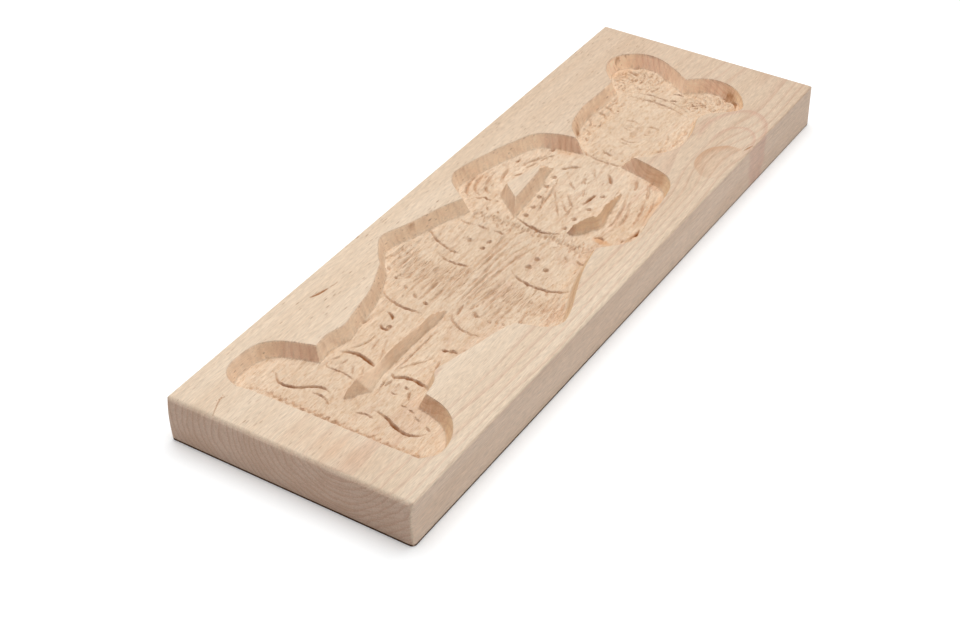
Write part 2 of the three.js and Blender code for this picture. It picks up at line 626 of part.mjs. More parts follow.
function beadLines() {
  const lines = [];
  for (let x = beads.from; x < beads.to; x += beads.pitch) {
    const half = beads.pitch / 2;
    const top = beads.y + beads.rise;
    lines.push({ ...beads, path: [[x - half, top], [x, beads.y - beads.rise], [x + half, top]] });
  }
  return lines;
}

function board() {
  let solid = plank().subtract(figureCutter());
  for (const form of forms) solid = solid.subtract(formCutter(form));
  const fineCuts = [
    ...gouges.flatMap((kind) => kind.paths.map((path) => gougeCutter({ ...kind, path }))),
    ...[...barbLines(), ...beadLines()].map(gougeCutter),
    ...studs.map((stud) => pitCutter(stud, studRadius)),
    ...eyes.map((eye) => pitCutter(eye, eyeRadius)),
  ];
  solid = solid.subtract(wasm.Manifold.union(fineCuts).intersect(floorColumn()));
  for (const crest of ridgeCrests) solid = solid.add(ridge(crest));
  const beech = new THREE.MeshStandardMaterial({ color: "#e3cdb2", roughness: 0.6, metalness: 0 });
  const mesh = new THREE.Mesh(geometryOf(solid), beech);
  mesh.name = "board";
  return mesh;
}

const group = new THREE.Group();
group.add(board());

export default group;
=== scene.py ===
import math

import bpy
import numpy as np
from mathutils import Matrix, Vector


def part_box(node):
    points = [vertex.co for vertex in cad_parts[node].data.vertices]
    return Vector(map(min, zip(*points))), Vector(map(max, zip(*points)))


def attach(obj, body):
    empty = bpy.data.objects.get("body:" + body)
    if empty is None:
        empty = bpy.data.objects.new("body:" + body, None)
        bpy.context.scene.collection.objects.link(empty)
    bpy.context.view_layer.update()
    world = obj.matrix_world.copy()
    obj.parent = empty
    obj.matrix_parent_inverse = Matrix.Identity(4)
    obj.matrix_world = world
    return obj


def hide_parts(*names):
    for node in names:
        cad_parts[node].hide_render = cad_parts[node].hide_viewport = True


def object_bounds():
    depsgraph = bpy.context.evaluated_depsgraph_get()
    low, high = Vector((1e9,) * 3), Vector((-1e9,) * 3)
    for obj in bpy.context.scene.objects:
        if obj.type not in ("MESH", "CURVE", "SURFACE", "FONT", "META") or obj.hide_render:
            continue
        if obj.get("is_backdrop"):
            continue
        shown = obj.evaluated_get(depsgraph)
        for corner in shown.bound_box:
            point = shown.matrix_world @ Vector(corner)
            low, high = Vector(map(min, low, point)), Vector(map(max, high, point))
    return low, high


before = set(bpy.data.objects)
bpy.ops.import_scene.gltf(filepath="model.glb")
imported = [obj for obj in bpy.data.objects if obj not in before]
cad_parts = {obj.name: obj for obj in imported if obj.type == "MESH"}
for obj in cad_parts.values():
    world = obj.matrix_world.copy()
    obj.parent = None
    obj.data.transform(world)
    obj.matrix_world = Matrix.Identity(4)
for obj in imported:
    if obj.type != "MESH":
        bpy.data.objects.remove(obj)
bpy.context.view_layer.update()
low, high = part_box("board")
mm = 0.001
boardLength = (high.y - low.y) / mm
boardWidth = (high.x - low.x) / mm
boardThick = (high.z - low.z) / mm
print(f"frame loaded: board {boardLength:.1f} x {boardWidth:.1f} x {boardThick:.1f} mm")

# Camera at the photograph's view. Angles in degrees, lengths in millimetres.
cameraView = {
    "azimuth": 32.813, "elevation": 37.744, "roll": -0.6637, "distance": 725.23,
    "target": (4.61, -41.72, 0), "lens": 69.294, "sensor": 36,
}


def makeCamera():
    azimuth, elevation, roll = (math.radians(cameraView[k]) for k in ("azimuth", "elevation", "roll"))
    back = Vector((math.sin(azimuth) * math.cos(elevation),
                   -math.cos(azimuth) * math.cos(elevation), math.sin(elevation)))
    side = Vector((math.cos(azimuth), math.sin(azimuth), 0))
    rise = back.cross(side)
    right = math.cos(roll) * side + math.sin(roll) * rise
    up = math.cos(roll) * rise - math.sin(roll) * side
    data = bpy.data.cameras.new("camera")
    data.sensor_width = cameraView["sensor"]
    data.lens = cameraView["lens"]
    data.clip_start = 0.01
    camera = bpy.data.objects.new("camera", data)
    bpy.context.collection.objects.link(camera)
    place = (Vector(cameraView["target"]) + back * cameraView["distance"]) * mm
    turn = Matrix((right, up, back)).transposed()
    camera.matrix_world = Matrix.Translation(place) @ turn.to_4x4()
    bpy.context.scene.camera = camera


makeCamera()
print("camera placed")

# The plank's edges and the mould's general section, in millimetres.
plank = {
    "corner": 2, "sharpCorner": 0.9, "endRound": 1.6, "endDrop": 1.5, "endBelly": 0.8,
    "longEase": 0.7, "longDrop": 0.5, "footInset": 0.1, "footEnd": 0.9, "footSide": 0.5,
    "grid": 0.34, "quickGrid": 0.6, "snap": 0.42, "arrisRows": 7, "underMould": 8,
    "sideRows": (0.1, 0.2, 0.35, 0.5, 0.7, 0.85, 1),
}
mould = {
    "floor": 6, "draft": 2.5, "rimSoft": 0.18, "footSoft": 0.3, "formSoft": 0.3, "formRound": 0.7,
    "pathPitch": 0.8, "crestPitch": 0.3, "reach": 7.0, "inside": 0.3,
}

# Rim of the mould on the top face, in runs between its corners, each a smooth curve.
rimRuns = {
    "leftPlume": [(-25.4, 116), (-33, 124.5), (-35.6, 133), (-32.5, 140.4), (-25.5, 145.4),
                  (-17.5, 145.8), (-8.5, 142.2), (2.3, 135.4)],
    "rightPlume": [(2.3, 135.4), (10.5, 141), (18.6, 141.6), (26.8, 138), (32.5, 131.4),
                   (34.6, 124.5), (29, 118.3), (24, 114.2), (21.8, 108.6)],
    "rightHair": [(21.8, 108.6), (25.4, 96), (26, 84), (21.2, 74.2), (13.1, 66.4)],
    "rightArm": [(13.1, 66.4), (23.6, 64), (31.8, 61), (36.4, 55.8), (38.4, 48), (40.3, 32),
                 (42.6, 16), (40, 8.5), (32.3, 0.2)],
    "rightBreeches": [(32.3, 0.2), (34.3, -9.5), (36.4, -17.5), (39.8, -27.3), (43.2, -36.4),
                      (45.5, -44.5), (45.1, -48.8), (41.8, -53.2), (30.1, -57.6)],
    "rightLeg": [(30.1, -57.6), (27.3, -65.4), (25.2, -75), (21.8, -89.5), (20.4, -96.5),
                 (23.4, -101.6), (24.9, -109.3)],
    "rightShoe": [(24.9, -109.3), (33.7, -111.4), (40.9, -116.4), (45.8, -124.5),
                  (46.6, -133.5), (42, -139.4)],
    "base": [(42, -139.4), (0, -140.1), (-28, -140.6), (-35.5, -141.6)],
    "leftShoe": [(-35.5, -141.6), (-41.6, -139.2), (-45.2, -134), (-45.5, -124.5), (-43.2, -117),
                 (-36.8, -111.7), (-25.2, -107.5)],
    "leftLeg": [(-25.2, -107.5), (-25.8, -100), (-23.6, -92), (-25.2, -83.6), (-28.1, -68.6),
                (-34.5, -53)],
    "leftBreeches": [(-34.5, -53), (-40.2, -46.2), (-44.7, -37), (-40.6, -25), (-36, -9),
                     (-31.6, 2.1)],
    "leftArm": [(-31.6, 2.1), (-36.8, 5.8), (-42.2, 10.4), (-45, 15.6), (-45, 20), (-43.2, 29),
                (-40.2, 40), (-36.8, 49.6), (-32, 60.4), (-23.4, 65.4), (-15.2, 67)],
    "leftHair": [(-15.2, 67), (-22.5, 75.7), (-25.5, 90), (-25.2, 103), (-25.4, 116)],
}

# Uncut wood between the left arm and the body.
waistGap = [(-20, 30.5), (-22, 21.5), (-18.5, 18.4), (-13.5, 14.4), (-14.5, 25), (-15.6, 36),
            (-17.4, 40.5)]
# Sharp ridges. Each crest point is x, y, height over the floor and run-out of the right side.
ridges = {
    "legs": {"leftSide": 2.2, "cutBy": [(2.9, -113.5), (-1.4, -120.3)], "crest": [
        (0.2, -57.5, 0, 2), (-0.2, -62, 2.4, 2.2), (-0.7, -68, 4.3, 2.4), (-0.9, -76, 4.4, 2.4),
        (-1, -86, 4.7, 2.3), (-1.2, -95, 5.2, 2.2), (-1.3, -103, 3.9, 4.4), (-1.3, -109.5, 4.7, 5),
        (-1.4, -116, 5.9, 4.8), (-1.5, -119.5, 5.9, 4.4)]},
    "leftArm": {"leftSide": 1.8, "crest": [
        (-15.9, 49.5, 0, 1.8), (-16.5, 40, 5.9, 1.8), (-15.6, 34, 5.9, 1.8)]},
    "rightArm": {"leftSide": 1.3, "crest": [
        (12.9, 10.6, 0, 1.3), (15.6, 11.8, 4.6, 1.4), (18.6, 17.2, 5.9, 1.8), (21.2, 20.6, 5.9, 2.2),
        (20.9, 25, 5.6, 2.2), (20.2, 29, 5.6, 1.6), (19.8, 34, 4.8, 1.3), (19.4, 39, 3.6, 1.2),
        (18.6, 45, 1.6, 1.2), (17.6, 48.5, 0, 1.2)]},
}
ridgeEndSlope = 2.4  # rise over run of the face that ends a ridge


def smoothPath(points, pitch=mould["pathPitch"]):
    knots = np.array(points, float)
    last = len(knots) - 1
    padded = np.vstack([knots[:1], knots, knots[-1:]])
    out = []
    for i in range(last):
        before, start, end, after = padded[i:i + 4]
        steps = max(1, math.ceil(np.hypot(*(end - start)[:2]) / pitch))
        w = (np.arange(steps) / steps)[:, None]
        v0, v1 = (end - before) / 2, (after - start) / 2
        out.append((2 * start - 2 * end + v0 + v1) * w**3
                   + (-3 * start + 3 * end - 2 * v0 - v1) * w**2 + v0 * w + start)
    return np.vstack(out + [knots[-1:]])


def edgeSteps(half, band, step):
    # positions from -half to half: crowded in the rounded band at each edge, even between
    turns = np.linspace(0, math.pi / 2, plank["arrisRows"] + 1)
    edge = half - band * (1 - np.sin(turns))
    count = math.ceil(2 * (half - band) / step)
    middle = np.linspace(-half + band, half - band, count + 1)
    return np.concatenate([-edge[::-1][:-1], middle, edge[1:]])


gridStep = plank["grid"]
xs = edgeSteps(boardWidth / 2, plank["longEase"], gridStep)
# the near end swells past the top face, so the face lies a little towards the far end
halfFace = (boardLength - plank["endBelly"]) / 2
ys = edgeSteps(halfFace, plank["endRound"], gridStep) + plank["endBelly"] / 2
gridX, gridY = np.meshgrid(xs, ys)
seed = np.random.default_rng(1709)


def windowRound(points, reach):
    lo = points[:, :2].min(0) - reach
    hi = points[:, :2].max(0) + reach
    j0, j1 = np.searchsorted(xs, (lo[0], hi[0]))
    i0, i1 = np.searchsorted(ys, (lo[1], hi[1]))
    return slice(i0, i1), slice(j0, j1)


def nearPath(path, area):
    # distance to a path and how far along it, for every grid point of an area
    x, y = gridX[area], gridY[area]
    best = np.full(x.shape, 1e9)
    along = np.zeros(x.shape)
    lengths = np.hypot(*np.diff(path[:, :2], axis=0).T)
    travelled = np.concatenate([[0], np.cumsum(lengths)])
    for k in range(len(lengths)):
        ax, ay = path[k, :2]
        dx, dy = path[k + 1, :2] - path[k, :2]
        t = np.clip(((x - ax) * dx + (y - ay) * dy) / max(lengths[k]**2, 1e-9), 0, 1)
        gap = np.hypot(x - ax - t * dx, y - ay - t * dy)
        closer = gap < best
        best[closer] = gap[closer]
        along[closer] = (travelled[k] + t * lengths[k])[closer]
    return best, along / travelled[-1]


def softMin(a, b, blend):
    share = np.clip(0.5 + 0.5 * (b - a) / blend, 0, 1)
    return b + (a - b) * share - blend * share * (1 - share)


def cloud(sizeX, sizeY, turn=0):
    # smooth random field from -1 to 1 with blobs of the given size in millimetres
    angle = math.radians(turn)
    u = (gridX * math.cos(angle) + gridY * math.sin(angle)) / sizeX
    v = (-gridX * math.sin(angle) + gridY * math.cos(angle)) / sizeY
    u, v = u - u.min(), v - v.min()
    lattice = seed.uniform(-1, 1, (int(v.max()) + 3, int(u.max()) + 3))
    iu, iv = u.astype(int), v.astype(int)
    fu, fv = u - iu, v - iv
    fu, fv = fu * fu * (3 - 2 * fu), fv * fv * (3 - 2 * fv)
    lower = lattice[iv, iu] * (1 - fu) + lattice[iv, iu + 1] * fu
    upper = lattice[iv + 1, iu] * (1 - fu) + lattice[iv + 1, iu + 1] * fu
    return lower * (1 - fv) + upper * fv


def wallField():
    # distance inwards from the rim and the gaps' edges, and the run along them
    outlines = [np.vstack([smoothPath(run)[:-1] for run in rimRuns.values()]), np.array(waistGap, float)]
    reach = mould["reach"]
    inside = np.zeros(gridX.shape, bool)
    gapWidth = np.full(gridX.shape, reach)
    run = np.zeros(gridX.shape)
    nearest = np.zeros(gridX.shape, int)
    past = np.zeros(gridX.shape, int)
    starts, normals, neighbours = [], [], []
    travelled = 0
    for outline in outlines:
        closed = np.vstack([outline, outline[:1]])
        first, count = len(starts), len(outline)
        for k, (a, b) in enumerate(zip(closed[:-1], closed[1:])):
            piece = np.array([a, b])
            size = np.hypot(*(b - a))
            area = windowRound(piece, reach)
            gap, along = nearPath(piece, area)
            closer = gap < gapWidth[area]
            gapWidth[area] = np.where(closer, gap, gapWidth[area])
            run[area] = np.where(closer, travelled + along * size, run[area])
            nearest[area] = np.where(closer, first + k, nearest[area])
            past[area] = np.where(closer, (along >= 1).astype(int) - (along <= 0), past[area])
            travelled += size
            starts.append(a)
            normals.append(((b - a)[1] / size, -(b - a)[0] / size))
            neighbours.append((first + (k - 1) % count, first + k, first + (k + 1) % count))
        a, b = closed[:-1], closed[1:]
        for i, y in enumerate(ys):
            hit = (a[:, 1] > y) != (b[:, 1] > y)
            cross = a[hit, 0] + (y - a[hit, 1]) / (b[hit, 1] - a[hit, 1]) * (b[hit, 0] - a[hit, 0])
            inside[i] ^= np.searchsorted(np.sort(cross), xs) % 2 == 1
    # where two walls meet round a corner of the wood, both stay flat up to their mitre
    corner = (past != 0) & inside & (gapWidth < reach)
    starts, normals, neighbours = np.array(starts), np.array(normals), np.array(neighbours)
    place = np.stack([gridX[corner], gridY[corner]], -1)
    sides = [nearest[corner], neighbours[nearest[corner], past[corner] + 1]]
    flat = [((place - starts[k]) * normals[k]).sum(-1) for k in sides]
    gapWidth[corner] = np.clip(np.maximum(*flat), 0, gapWidth[corner])
    return np.where(inside, gapWidth, -gapWidth), run


inward, rimRun = wallField()
print(f"rim traced on a grid of {gridX.shape[1]} x {gridX.shape[0]}")

# Rounded forms of the figure, pressed deeper than the floor. For each oval its middle, reach, depth
# under the floor, turn in degrees, how rough the tool left it and how far the tool's marks curl.
forms = {
    "leftPlume": ((-19.5, 131.5), (13, 10.5), 1.5, 30, 1, 1),
    "rightPlume": ((17.5, 127.5), (13.5, 9.5), 1.5, -18, 1, 1),
    "capBand": ((-1.5, 119), (20, 4.6), 0.8, -4, 0.5, 0.2),
    "leftHair": ((-18.4, 92), (4.4, 19), 0.9, 2, 0.9, 0.8),
    "rightHair": ((18.2, 90), (4.2, 17), 0.9, -2, 0.9, 0.8),
    "face": ((-0.6, 95), (13, 17.5), 1.5, 0, 0.3, 0),
    "collar": ((-1, 70.5), (15, 4.5), 0.8, 0, 0.9, 0.5),
    "chest": ((0, 40), (12.5, 25), 1.5, 0, 0.7, 0),
    "leftUpperArm": ((-28.5, 43), (7, 20), 1.3, -15, 0.7, 0),
    "rightUpperArm": ((28.5, 43), (7, 20), 1.3, 15, 0.7, 0),
    "leftElbow": ((-33, 18), (7.5, 8.5), 1.2, -20, 0.8, 0),
    "rightElbow": ((32.5, 17), (7.5, 9), 1.2, 20, 0.8, 0),
    "belt": ((0, 3), (27.5, 4.5), 0.8, 0, 1, 0.2),
    "leftBreeches": ((-20.5, -26), (15.5, 27), 1.8, -10, 0.75, 0),
    "rightBreeches": ((22, -27), (15, 28), 1.8, 9, 0.75, 0),
    "leftCalf": ((-13.2, -84), (8, 16), 1.2, 2, 0.45, 0),
    "rightCalf": ((11.6, -84), (7.6, 16), 1.2, -2, 0.45, 0),
    "leftShoe": ((-25, -122.5), (15.5, 9.5), 0.4, 8, 0.45, 0),
    "rightShoe": ((24.5, -122.5), (16, 9.5), 0.4, -8, 0.45, 0),
}
openFloor = {"rough": 0.6, "fadeFrom": 1.5, "fadeOver": 0.7}  # round the forms
# shallower floor that rises towards the rim: middle, reach, height and turn
shallows = {
    "rightPlumeTip": ((32, 132), (11, 11), 3, 0),
    "rightSleeve": ((40, 40), (8, 20), 3, 4),
}
# the wall beside the skirt leans out more than the others
gentleWall = {"at": (39, -22), "reach": (16, 33), "turn": 16, "draft": 3.3}


def ovalReach(at, reach, turn=0):
    # 0 at the middle of an oval, 1 on its edge
    angle = math.radians(turn)
    dx, dy = gridX - at[0], gridY - at[1]
    u = (dx * math.cos(angle) + dy * math.sin(angle)) / reach[0]
    v = (-dx * math.sin(angle) + dy * math.cos(angle)) / reach[1]
    return u * u + v * v


pressed = np.zeros(gridX.shape)
roughness = np.full(gridX.shape, openFloor["rough"])
curling = np.zeros(gridX.shape)
for at, reach, deeper, turn, rough, curl in forms.values():
    away = ovalReach(at, reach, turn)
    bowl = deeper * np.clip(1 - away, 0, 1)**mould["formRound"]
    pressed = -softMin(-pressed, -bowl, mould["formSoft"])
    share = np.clip((openFloor["fadeFrom"] - away) / openFloor["fadeOver"], 0, 1)
    roughness += (rough - roughness) * share
    curling += (curl - curling) * share
for at, reach, height, turn in shallows.values():
    pressed -= height * np.clip(1 - ovalReach(at, reach, turn), 0, 1)**1.5
floorDepth = mould["floor"] + pressed
carved = np.zeros(gridX.shape)  # extra depth of the lines and pits
cutAndShadeTone = np.zeros(gridX.shape)  # how dark the cut wood is, with painted shade in the gouges and pits


def cutLine(path, size, waver, ends=0.5):
    # V gouge of a half width, depth and darkness, swelling from both ends, with ragged sides
    width, depth, dark = size
    line = smoothPath(path)
    area = windowRound(line, width * 2 + 1)
    gap, along = nearPath(line, area)
    swell = np.maximum(0.05, np.sin(np.pi * along))**ends
    swell = swell * (1 + waver * wobble[area])
    fall = np.clip(1 - gap / (width * (0.35 + 0.65 * swell)), 0, 1)
    carved[area] = np.maximum(carved[area], depth * swell * fall**0.8)
    cutAndShadeTone[area] = np.maximum(cutAndShadeTone[area], dark * swell * fall**0.6)


def cutPit(at, size):
    # round pit of a radius, depth and darkness
    radius, depth, dark = size
    area = windowRound(np.array([at]), radius + 1)
    gap = np.hypot(gridX[area] - at[0], gridY[area] - at[1]) / radius
    fall = np.clip(1 - gap * gap, 0, 1)
    carved[area] = np.maximum(carved[area], depth * fall)
    cutAndShadeTone[area] = np.maximum(cutAndShadeTone[area], dark * fall)


wobble = cloud(1.6, 1.6)

# Cuts of the mould, in plan: half width, depth and darkness (darker cut wood and painted shade), and the
# lines cut so.
cuts = {
    "plumeCurls": ((0.6, 1, 0.42), [
        [(-29.9, 140.9), (-26.7, 141.2), (-24.5, 143.3)], [(-28.4, 137.5), (-25.2, 137.8), (-23.2, 140.2)],
        [(-25.7, 133.3), (-22.8, 133.3), (-21.3, 135.1)], [(-19.5, 131.1), (-19.4, 135.4), (-20.8, 140.5)],
        [(-19.1, 128.9), (-16.3, 128.1), (-15, 131.1)], [(-19.2, 139.8), (-17.8, 139), (-17.2, 141.5)],
        [(-11.5, 127.7), (-10, 130.3), (-10.1, 134.4)], [(-12.9, 141.9), (-11, 140.6), (-9, 138.4)],
        [(-0.9, 129.3), (0.6, 131), (4, 130.7)], [(0.2, 122.6), (1.3, 125), (3.8, 124.9)],
        [(6.3, 121.6), (8.1, 124.3), (11.2, 123)], [(7.6, 136.2), (8.9, 138.6), (11, 139.1)],
        [(12, 130.7), (13.9, 130.2), (15.1, 131.8)], [(17.9, 128.7), (19.7, 128.2), (20.9, 129.7)],
        [(17.8, 137.5), (20, 134.8), (20.6, 131.9)], [(21.5, 135.7), (22.1, 137.7), (24, 136.4)],
        [(23, 139.9), (25.2, 138), (26.4, 134.7)], [(8.7, 127.9), (10.9, 127.6), (12.1, 129.1)]]),
    # a groove along the foot of the right plume's wall, its darkness painted shadow
    "plumeWallFootShadow": ((0.6, 0.9, 0.9), [
        [(17, 138.2), (21.5, 137.9), (25.3, 135.9), (28.2, 132.9), (30, 129.2), (30.6, 126.8)]]),
    "capBand": ((0.55, 0.75, 0.16), [
        [(-24.2, 120), (-16.6, 122.9), (-7.3, 124.1), (1.1, 123.3), (9, 120.8), (15.6, 117.2)],
        [(-21.5, 117.5), (-10.8, 119.9), (-0.4, 120.1), (7.6, 118.2), (15.1, 115)]]),
    "hairCurls": ((0.6, 0.8, 0.3), [
        [(-16.5, 112.8), (-15.8, 110), (-17.2, 107.5)], [(-20.2, 113.2), (-19.4, 110.2), (-21, 107.5)],
        [(-21.9, 104.7), (-19, 104.7), (-16.5, 101.9)], [(-22.8, 98.5), (-20, 99.5), (-16.9, 96.8)],
        [(-19, 94.2), (-16.6, 92), (-16.1, 88.3)], [(-22.7, 91.6), (-20.8, 90.4), (-20.1, 87.2)],
        [(-21.8, 83.9), (-19.1, 84.2), (-16.1, 81.3)], [(-17.3, 78), (-15.4, 76.7), (-14.3, 75.2)],
        [(17.5, 106.1), (19, 104.1), (18.5, 101.7)], [(17.7, 97.1), (19, 95.5), (18.4, 93.7)],
        [(12.3, 98.2), (14.2, 96.4), (14.4, 94.1)], [(16.6, 89.3), (16.1, 85.8), (14.2, 82.3)],
        [(21.1, 90.9), (20.5, 87.2), (18.4, 84.2)], [(19, 80), (17, 79), (15.2, 75.6)],
        [(-21.9, 109.9), (-21, 112.1), (-21.4, 115.1)], [(16.4, 94.9), (18.4, 94.6), (18.7, 99.4)]]),
    "collar": ((0.6, 0.8, 0.5), [
        [(-13.6, 68.8), (-6, 65.6), (0, 65), (6, 65.4), (12, 68.2)],
        [(-5.3, 73.1), (-3.5, 72), (0.1, 72.4)], [(-11.6, 68.8), (-9.8, 66.6), (-7.2, 65.6)]]),
    "lapels": ((0.8, 1.2, 0.75), [
        [(-12.6, 50), (-10.4, 53.8), (-6.2, 56.6)], [(5.6, 57.9), (8.2, 55.3), (11.2, 51.3)]]),
    "darkSlits": ((0.75, 1.4, 1.3), [
        [(7.8, 32.9), (8.3, 38), (8.7, 42.9)], [(37.4, 27.6), (37.4, 24), (36.4, 21.3)],
        [(-39.9, -21), (-39.6, -23.4), (-39.9, -26)]]),
    "chestSlits": ((0.5, 0.9, 0.4), [
        [(-0.8, 51.8), (-1.1, 49.5), (-0.9, 46.8)],
        [(-10.6, 45.8), (-8.2, 34.8), (-6.5, 24.4), (-4.6, 14.4)],
        [(-3, 29.8), (0.3, 24.6), (3.9, 19.6)], [(-1.9, 37), (1.8, 32.7), (5.7, 28.7)],
        [(4.6, 31.3), (5.6, 25.4), (6.9, 19.8)], [(-10.4, 40), (-6.4, 34.2), (-3.2, 29.7)],
        [(-9.4, 30.7), (-7, 24.9), (-4.7, 18.3)], [(-1.5, 49.7), (-0.4, 48.7), (0.9, 47.4)],
        [(-1, 31), (2.7, 26.9), (6.9, 23)], [(-1.2, 59), (0.8, 55.2), (3.6, 51.5)],
        [(-5.9, 46), (-3.4, 43.2), (-0.7, 41.6)], [(1.8, 44), (3.5, 41.1), (4.8, 38.2)]]),
    "sleeveFolds": ((0.8, 1.1, 0.4), [
        [(20, 50), (23.6, 38.6), (25.5, 28), (25, 22)], [(23.3, 46.1), (27.4, 34), (28.5, 22.8)],
        [(28.2, 49.3), (31.2, 39.2), (33.1, 28.7)], [(30.5, 52.7), (34.1, 42.7), (36.3, 32.3)],
        [(24.1, 59.2), (26.9, 55), (28.2, 50.2)], [(18.5, 60), (20.4, 56.3), (21.3, 52.7)],
        [(-41, 27.5), (-40.2, 20), (-38, 15.3), (-35, 13.1)],
        [(-38.8, 31), (-38.1, 23.1), (-35.8, 18.6), (-32.4, 17.2)],
        [(-35.7, 34.3), (-34.7, 26.8), (-32.6, 21.8), (-28.6, 19.5)],
        [(-33.2, 41.2), (-31.5, 34.1), (-29.5, 28.1)],
        [(-23.6, 57.4), (-27.1, 52), (-29.4, 45.4)], [(-20.6, 58.6), (-23.3, 55.4), (-24.5, 52.1)]]),
    "sleeveSlits": ((0.55, 0.9, 0.8), [
        [(-27.2, 44.7), (-25.8, 48.8), (-24.5, 51.1)], [(-28.5, 35.7), (-27.2, 38.1), (-26, 41.1)],
        [(-37, 30.8), (-37.1, 29.2), (-36.9, 27.6)], [(-32.8, 45.7), (-32.3, 47.5), (-32, 49)],
        [(-36.9, 53.4), (-36.7, 51.6), (-36.9, 49.8)], [(34.7, 19.5), (34.4, 18.6), (34, 17.6)]]),
    "cuffs": ((0.7, 1.1, 0.95), [
        [(-34, 14.3), (-31.6, 15), (-30.1, 16.1), (-27.3, 15.2), (-25.2, 15.4)],
        [(24, 13.8), (26.6, 15.5), (27.9, 14.7)]]),
    "cuffEnd": ((1.5, 0.9, 0.25), [[(28.6, 11.6), (31.2, 9.6), (34.6, 6.8)]]),
    "belt": ((0.55, 1.1, 0.85), [
        [(-10.5, 10.2), (-7.8, 8.7), (-2.3, 7.2), (3.2, 6.2), (7.3, 7), (11.8, 9.6)],
        [(-3, 8), (0, 7.3), (3.4, 6.9)]]),
    "peplumNicks": ((0.5, 0.8, 0.36), [
        [(-24.7, 9.8), (-23.9, 9), (-23, 8)], [(-19.2, 9.8), (-18.6, 8.8), (-17.9, 7.7)],
        [(-14.3, 9.3), (-13.2, 8), (-12.2, 7)], [(-11.6, 10.8), (-11.2, 9), (-10.9, 7.3)],
        [(-15.6, 3), (-14.1, 1.1), (-12.4, -1.1)], [(12.3, 9.8), (13, 8.5), (13.6, 7.2)],
        [(16.8, 8.4), (17.4, 7.4), (18.1, 6.3)], [(21.8, 9.3), (22.5, 8), (23.1, 6.7)],
        [(25.3, 6.3), (26, 5.5), (26.7, 4.7)], [(-21.9, 3.8), (-20.7, 1.8), (-19.8, -0.4)],
        [(-26.2, 4.4), (-25.7, 2.2), (-25, -0.2)], [(18.7, 4.1), (19.8, 1.6), (20.4, -0.4)],
        [(24.5, 1.5), (25.6, -0.6), (25.9, -2.4)], [(-9.1, 4.2), (-8.1, 1.9), (-7.4, -0.5)]]),
    "peplumEdge": ((0.6, 0.8, 0.45), [
        [(-29, -3.2), (-26.2, -4.1), (-23, -3)], [(-21.4, -2.4), (-18.9, -2.8), (-16.1, -2.6)],
        [(-14, -2.9), (-10.8, -2.9), (-7.4, -3.1)], [(13, -1), (14.1, 0.4), (15.1, 1.6)],
        [(20.3, -3), (22, -4.6), (23.1, -6.3)], [(25.7, -3.5), (28.3, -4.8), (31, -4.8)]]),
    "hems": ((0.65, 1, 0.62), [
        [(-36.4, -16), (-33.4, -17.7), (-30.8, -19.3), (-26.2, -20.8), (-21.3, -22), (-16.2, -22.2)],
        [(-25, -26.4), (-21, -27.9), (-17.7, -28.6), (-12, -28.7), (-7.8, -27.8)],
        [(6, -21.6), (8.4, -23.2), (12.2, -24.8), (18.2, -25.6), (24.3, -25.2), (30.2, -23.7),
         (36.2, -21.2)]]),
    "drapes": ((0.75, 0.9, 0.34), [
        [(1.5, 1), (-1, -10), (-1.8, -20), (-1.2, -33), (-1.5, -52)],
        [(9.2, 1), (6, -9), (4.3, -18), (3, -37), (2.5, -54)],
        [(-8, 4), (-7, -10), (-6.6, -20), (-6.1, -35)], [(4.6, -2), (1.4, -16), (0.8, -34), (0.6, -56)],
        [(-3.4, 1.5), (-4.4, -14), (-4.2, -30)], [(-41.4, -32), (-42.2, -35), (-42.4, -39)]]),
    "pleats": ((0.75, 0.9, 0.3), [
        [(-36.5, -27), (-37.6, -35), (-39, -43)], [(-35.4, -32.4), (-35.4, -38.7), (-35, -46)],
        [(-32.6, -27.8), (-32.6, -38), (-32, -46.1)], [(-30.3, -31.5), (-30.2, -35.6), (-29.7, -40.9)],
        [(-28.9, -38.7), (-28.3, -44), (-27.3, -50.1)], [(-26.7, -32.3), (-26.1, -40.6), (-24.9, -48.8)],
        [(-23.6, -30.1), (-23.2, -38.4), (-22, -46)], [(-21.3, -36.3), (-20.3, -45), (-19, -56)],
        [(-17.5, -32.3), (-16.5, -40.9), (-15.8, -54)], [(-14.3, -34.7), (-13.1, -45.8), (-13, -58)],
        [(-11.4, -30.8), (-10.2, -37.4), (-9.2, -45)], [(-9, -44), (-8.7, -50), (-8.5, -57)],
        [(-8, -28.2), (-7, -32.7), (-6.4, -37)], [(-5.4, -35), (-4.8, -46), (-4.5, -57.5)],
        [(12.4, -30.6), (12.6, -34.8), (12.6, -39.1)], [(11, -37.3), (11.4, -45), (11.5, -52.5)],
        [(13, -43.5), (13.4, -49), (13.3, -55.5)], [(17.8, -29.1), (18.1, -33.2), (18.1, -36.4)],
        [(18.9, -36.3), (19.4, -44.9), (20, -54.5)], [(23.8, -32.2), (24.3, -36.3), (24.7, -39.4)],
        [(25.4, -39.5), (26.1, -43.7), (27.1, -49.2)], [(8.8, -30.3), (8.4, -39), (7.5, -47)],
        [(7.5, -46), (7.2, -50), (6.9, -54)], [(24.8, -24.6), (25.6, -26.2), (26.5, -28.2)],
        [(29, -28.4), (30.3, -34.6), (31.6, -42)], [(32.2, -27.8), (34, -34.1), (36.2, -42.4)],
        [(35.6, -29.4), (37.6, -36), (39.2, -43)], [(15.5, -32.4), (16.1, -41.9), (16.8, -52)],
        [(21.6, -31.1), (22.4, -40.5), (22.8, -49.1)], [(4.4, -38), (4.2, -46), (4.4, -54)]]),
    "pleatFeet": ((0.7, 1.1, 0.5), [
        [(-35.8, -45.2), (-35, -46.6), (-33.8, -47.5)], [(-22.9, -52), (-22, -53.6), (-20.9, -54.4)],
        [(-29.4, -50.1), (-28.6, -50.7), (-27.8, -50.6)], [(-39, -47.8), (-38.4, -51), (-37.4, -55)],
